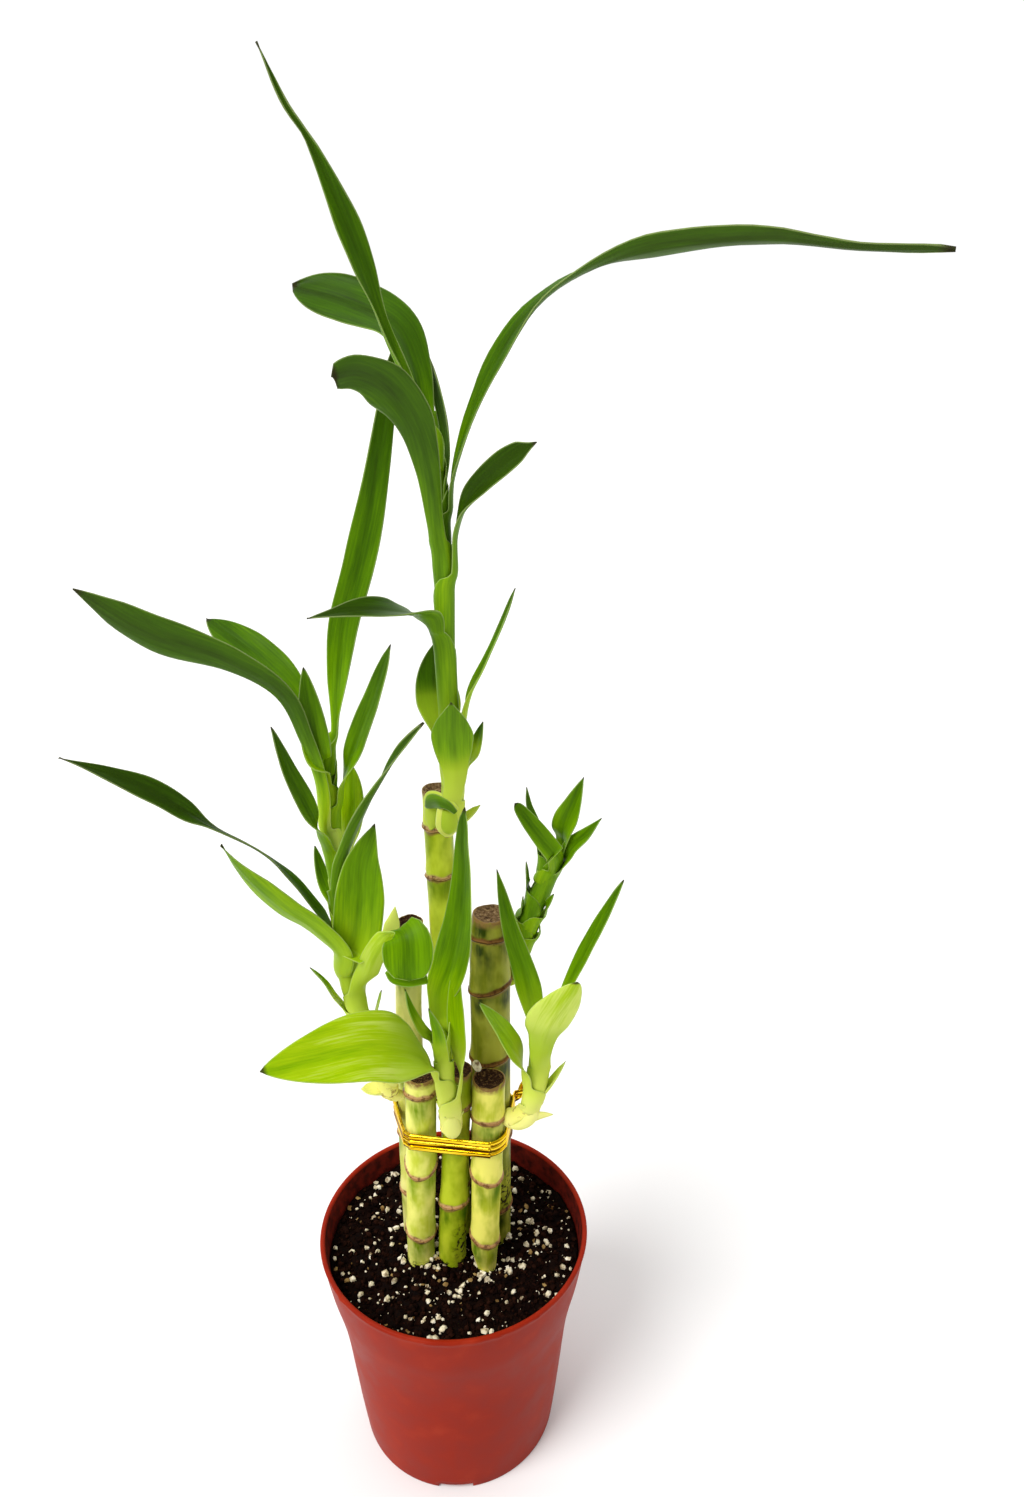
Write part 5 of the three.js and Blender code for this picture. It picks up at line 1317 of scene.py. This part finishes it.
# The young leaves of the shoot behind, each in the sleeve of the one before, as in LEAVES.
BUNCH = [
    dict(clasp=(190, 193), side=-15, width=3.4, neck=0.9, widest=0.3, tone=(0.6, 0.64),
         points=[(28.4, 8, 200)], face=[(1, -0.4, -0.8, 0.4)]),
    dict(clasp=(194, 197), side=175, width=3.4, neck=0.9, widest=0.3, tone=(0.56, 0.52),
         points=[(23, 8.2, 204.6), (23.6, 8, 209.4)], face=[(1, 0.8, -0.5, 0.4)]),
    dict(clasp=(197, 200), side=0, width=4.8, neck=0.9, widest=0.25, tone=(0.6, 0.6),
         points=[(30.8, 7.2, 206.6), (32.8, 6, 211.4)], face=[(1, -0.5, -0.8, 0.3)]),
    dict(clasp=(203, 206), side=175, width=3.8, neck=0.9, widest=0.3, tone=(0.4, 0.4),
         points=[(24.8, 8.4, 214.4), (24.5, 8, 221.4)], face=[(1, 0.8, -0.5, 0.4)]),
    dict(clasp=(208, 214), side=-8, width=7, neck=1, widest=0.4, bend=0.5, tone=(0.44, 0.46),
         points=[(37.8, 8.8, 225.4), (42.4, 7.2, 231), (46.4, 6, 236.8)],
         outline=[(0.35, 3.8), (0.55, 3.1), (0.72, 2.5), (0.9, 1.1)],
         face=[(0.6, -0.4, -0.6, 0.7), (1, -0.4, -0.5, 0.7)]),
    dict(clasp=(212, 215), side=-50, width=6.6, neck=1, widest=0.4, bend=0.3, tone=(0.42, 0.56),
         points=[(33.4, 6.4, 223.6), (29.6, 5.6, 229.8), (25.4, 5.2, 236), (21.2, 5, 242.2)],
         outline=[(0.35, 3.2), (0.55, 3.1), (0.75, 2.7), (0.9, 2), (0.97, 1.3)],
         face=[(0.6, 0.4, -0.9, 0.4), (1, 0.4, -0.9, 0.4)]),
    dict(clasp=(216, 218.5), side=150, width=3.4, neck=0.9, widest=0.4, tone=(0.4, 0.4),
         points=[(27.6, 12, 231), (25.4, 12, 238), (24.7, 12, 244)], face=[(1, 0.4, -0.9, 0.2)]),
    dict(clasp=(217.5, 220.5), side=20, width=8, neck=1, widest=0.4, bend=0.6, tone=(0.44, 0.5),
         points=[(35.6, 11, 231), (38.4, 10.5, 239.4), (41.2, 10, 248)],
         outline=[(0.35, 3.7), (0.55, 3.9), (0.75, 2.6), (0.9, 1.2)],
         face=[(0.6, -0.4, -1, 0.2), (1, -0.4, -1, 0.2)]),
]
# Husks that lie on a cane where a shoot breaks out of it: the middle line, half widths at shares
# of its length, the way that the inner face looks, its roundness, its tone and how green it is.
HUSKS = {
    "top": [
        dict(points=[(5.2, -8.8, 247), (3.4, -8.8, 248.8), (1, -7.6, 249.4), (-1.6, -4.4, 247.9),
                     (-4, -0.8, 244.4)],
             halves=[(0, 0.9), (0.3, 1.8), (0.65, 2.8), (1, 0.6)], inner=(0, 1, -0.3), arc=0.4,
             tone=1.0, green=0.3),
        dict(points=[(5, -9.4, 246.6), (3.2, -9.4, 248.5), (0.9, -8.2, 249.1), (-1.5, -5, 247.5),
                     (-3.7, -1.4, 244.2)],
             halves=[(0, 0.7), (0.3, 1.5), (0.65, 2.6), (1, 0.5)], inner=(0, 1, -0.3), arc=0.4,
             tone=0.42),
        dict(points=[(1.8, -3.2, 236), (2, -6.4, 238.8), (2.2, -7.4, 242.4), (2.4, -7.4, 246.8)],
             halves=[(0, 0.8), (0.2, 3), (0.5, 3.7), (0.8, 3.5), (1, 3)], inner=(0, 1, 0.1), arc=1.1,
             tone=1.0, green=0.2),
        dict(points=[(2.4, -3.8, 236.8), (2.6, -6.9, 239.2), (2.8, -7.9, 242.4), (3, -7.9, 246.6)],
             halves=[(0, 0.5), (0.2, 2.5), (0.5, 3.2), (0.8, 3), (1, 2.5)], inner=(0, 1, 0.1), arc=1.1,
             tone=0.84, green=0.56),
        dict(points=[(-2.8, 0.6, 236.2), (-2.8, -0.1, 240), (-2.6, 0, 244.4)],
             halves=[(0, 0.6), (0.3, 2.2), (0.7, 2.6), (1, 1.8)], inner=(0.4, 1, 0), arc=0.9,
             tone=0.96, green=0.4),
    ],
    "left": [
        # at the curled leaf: a pale sliver behind it, and one across its lower end
        dict(points=[(-14, -22, 214), (-12.4, -22, 219), (-11.4, -22, 224.6)],
             halves=[(0, 1.8), (0.4, 2.2), (0.7, 1.3), (1, 0.1)], inner=(0, 1, 0.2), arc=0.5, tone=1.0,
             green=0.2),
        dict(points=[(-13, -36, 213.2), (-10.8, -36, 211.2), (-7.2, -36, 210.4), (-2.2, -36, 211.2)],
             halves=[(0, 0.4), (0.25, 1.5), (0.6, 1.7), (1, 1.5)], inner=(0, -1, 0.4), arc=0.3,
             tone=0.56),
    ],
    "front": [
        dict(points=[(1.4, -14.6, 137), (1.5, -17.6, 139.6), (1.5, -18.3, 143), (1.4, -18, 147.6)],
             halves=[(0, 0.8), (0.2, 3), (0.5, 3.8), (0.8, 3.2), (1, 2)], inner=(0, 1, 0.1), arc=1.3,
             tone=1.0, green=0.1),
    ],
    "right": [
        dict(points=[(19, -12.4, 138.8), (21.6, -13.6, 139.2), (24.6, -14.2, 141.2),
                     (26.4, -14, 144.4), (27.4, -13.6, 148)],
             halves=[(0, 0.8), (0.3, 2.4), (0.65, 2.6), (1, 0.4)], inner=(0, 1, 0.4), arc=1.0,
             tone=1.0, green=0.03),
        dict(points=[(24.6, -13, 141.6), (27.4, -13.2, 143.2), (30, -13, 143.8), (32.6, -12.6, 144)],
             halves=[(0, 1.2), (0.3, 2.2), (0.65, 1.6), (1, 0.1)], inner=(0, 1, 0.2), arc=0.7,
             tone=1.0, green=0.03),
    ],
}
YOUNG_STEPS = 15
HUSK_STEPS = 17
BUNCH_ROOT = 186  # the height where the sleeves of the bunch start
SCALE_THICKNESS = 0.5


def add_young_leaf(bm, shoot, root, side, width, reach, rise, lean, tone):
    """A short leaf rooted in its stem. lean is how much of its way out it makes early."""
    out = towards(side)
    centre, tangent, radius = shoot_at(shoot, root)
    shares = np.linspace(0, 1, YOUNG_STEPS)
    first = 0.55 * radius
    way_out = first + (reach - first) * shares ** (1.6 - lean)
    spine = centre + np.outer(way_out, out) + np.outer(0.25 * rise * shares, tangent)
    spine[:, 2] += 0.75 * rise * shares
    facing = np.tile([-out[0], -out[1], 0.5], (YOUNG_STEPS, 1))
    widths = [(0, 0.38 * width), (0.35, 0.5 * width), (0.7, 0.36 * width), (0.92, 0.1 * width), (1, 0.05)]
    halves = flow(widths, shares)
    arcs = flow([(0, 1.5), (0.3, 1.1), (0.65, 0.7), (1, 0.5)], shares)
    surface = blade_surface(spine, facing, halves, arcs)
    length = lengths_along(spine)[-1]
    green = np.maximum([green_share(shoot, p[2]) for p in spine], smoothstep(shares, 0, 1) * (1 - tone))
    tones = np.full(YOUNG_STEPS, tone)
    add_blade(bm, surface, halves, length, shares * 0.99, {"green": green, "tone": tones, "under": tones})


def add_husk(bm, points, halves, inner, arc, tone, green=0.999):
    """A dry, bowed husk along given points."""
    shares = np.linspace(0, 1, HUSK_STEPS)
    spine, length = evenly(spline(points, 12), shares)
    facing = np.tile(np.array(inner, float), (HUSK_STEPS, 1))
    half_at = flow(halves, shares)
    surface = blade_surface(spine, facing, half_at, np.full(HUSK_STEPS, arc))
    levels = {"green": green, "tone": tone, "under": tone}
    marks = {name: np.full(HUSK_STEPS, level) for name, level in levels.items()}
    add_blade(bm, surface, half_at, length, shares * 0.97, marks)


for shoot in SHOOTS:
    bm = bmesh.new()
    for leaf in YOUNG_LEAVES.get(shoot, []):
        add_young_leaf(bm, shoot, **leaf)
    for husk in HUSKS.get(shoot, []):
        add_husk(bm, **husk)
    below = BUNCH_ROOT
    for number, leaf in enumerate(BUNCH if shoot == "back_right" else []):
        pour(bm, build_leaf(shoot, leaf, below, seed=900 + number, paler=0))
        below = leaf["clasp"][1]
    piece = make_piece(f"scales_{shoot}", bm, [leaf_upper, leaf_under])
    thicken(piece, SCALE_THICKNESS)

# ---------------------------------------------------------------------------------------------
# The studio: a seamless white sweep, with a large soft light to the left of the camera and above
# it. The sweep behind is brightly lit, and the side of the camera is darker.

SWEEP_SIZE = 12  # half the sweep's width, in metres
IMAGE_HEIGHT = 1497  # in pixels
LENS_PIXELS = 1100  # the focal length, in the same pixels
SENSOR = 36  # the sensor's longer side, in mm
CAMERA_PLACE = (0.0205, -0.278, 0.383)
CAMERA_TILT = math.radians(23.6)
CAMERA_ROLL = math.radians(-0.3)

sweep = bmesh.new()
bmesh.ops.create_grid(sweep, x_segments=1, y_segments=1, size=SWEEP_SIZE)
sweep_mesh = bpy.data.meshes.new("white_sweep")
sweep.to_mesh(sweep_mesh)
sweep.free()
floor = add_object("white_sweep", sweep_mesh)
white_paper, tree, shader = start_material("white paper sweep")
feed(tree, shader, {"Base Color": "#f3f2f1", "Roughness": 1.0, "Specular IOR Level": 0.0})
sweep_mesh.materials.append(white_paper)

world = bpy.data.worlds.new("studio")
bpy.context.scene.world = world
world.use_nodes = True
tree = world.node_tree
# the surroundings grow brighter from the camera's side to behind the plant
heading = add_node(tree, "TexCoord", out="Generated")
depth = add_node(tree, "SeparateXYZ", {0: heading}, out="Y")
strength = add_node(
    tree, "MapRange", {0: depth, 1: -0.7, 2: 0.35, 3: 0.38, 4: 1.05},
    interpolation_type="SMOOTHSTEP",
)
feed(tree, tree.nodes["Background"], {"Color": "#ffffff", "Strength": strength})

# the soft light is a sun with a very wide disc
key = bpy.data.lights.new("key", "SUN")
key.energy = 2.6
key.angle = math.radians(32)
lamp = add_object("key", key)
lamp.rotation_euler = Vector((-0.55, -0.5, 0.85)).to_track_quat("Z", "Y").to_euler()

camera_data = bpy.data.cameras.new("camera")
camera_data.lens = SENSOR * LENS_PIXELS / IMAGE_HEIGHT
camera = add_object("camera", camera_data)
forward = Vector((0, math.cos(CAMERA_TILT), -math.sin(CAMERA_TILT)))
right = Vector((1, 0, 0))
up = right.cross(forward)
turned_right = right * math.cos(CAMERA_ROLL) + up * math.sin(CAMERA_ROLL)
turned_up = up * math.cos(CAMERA_ROLL) - right * math.sin(CAMERA_ROLL)
camera.matrix_world = Matrix.Translation(CAMERA_PLACE) @ Matrix(
    (turned_right, turned_up, -forward)
).transposed().to_4x4()
bpy.context.scene.camera = camera
bpy.context.scene.view_settings.view_transform = "Standard"
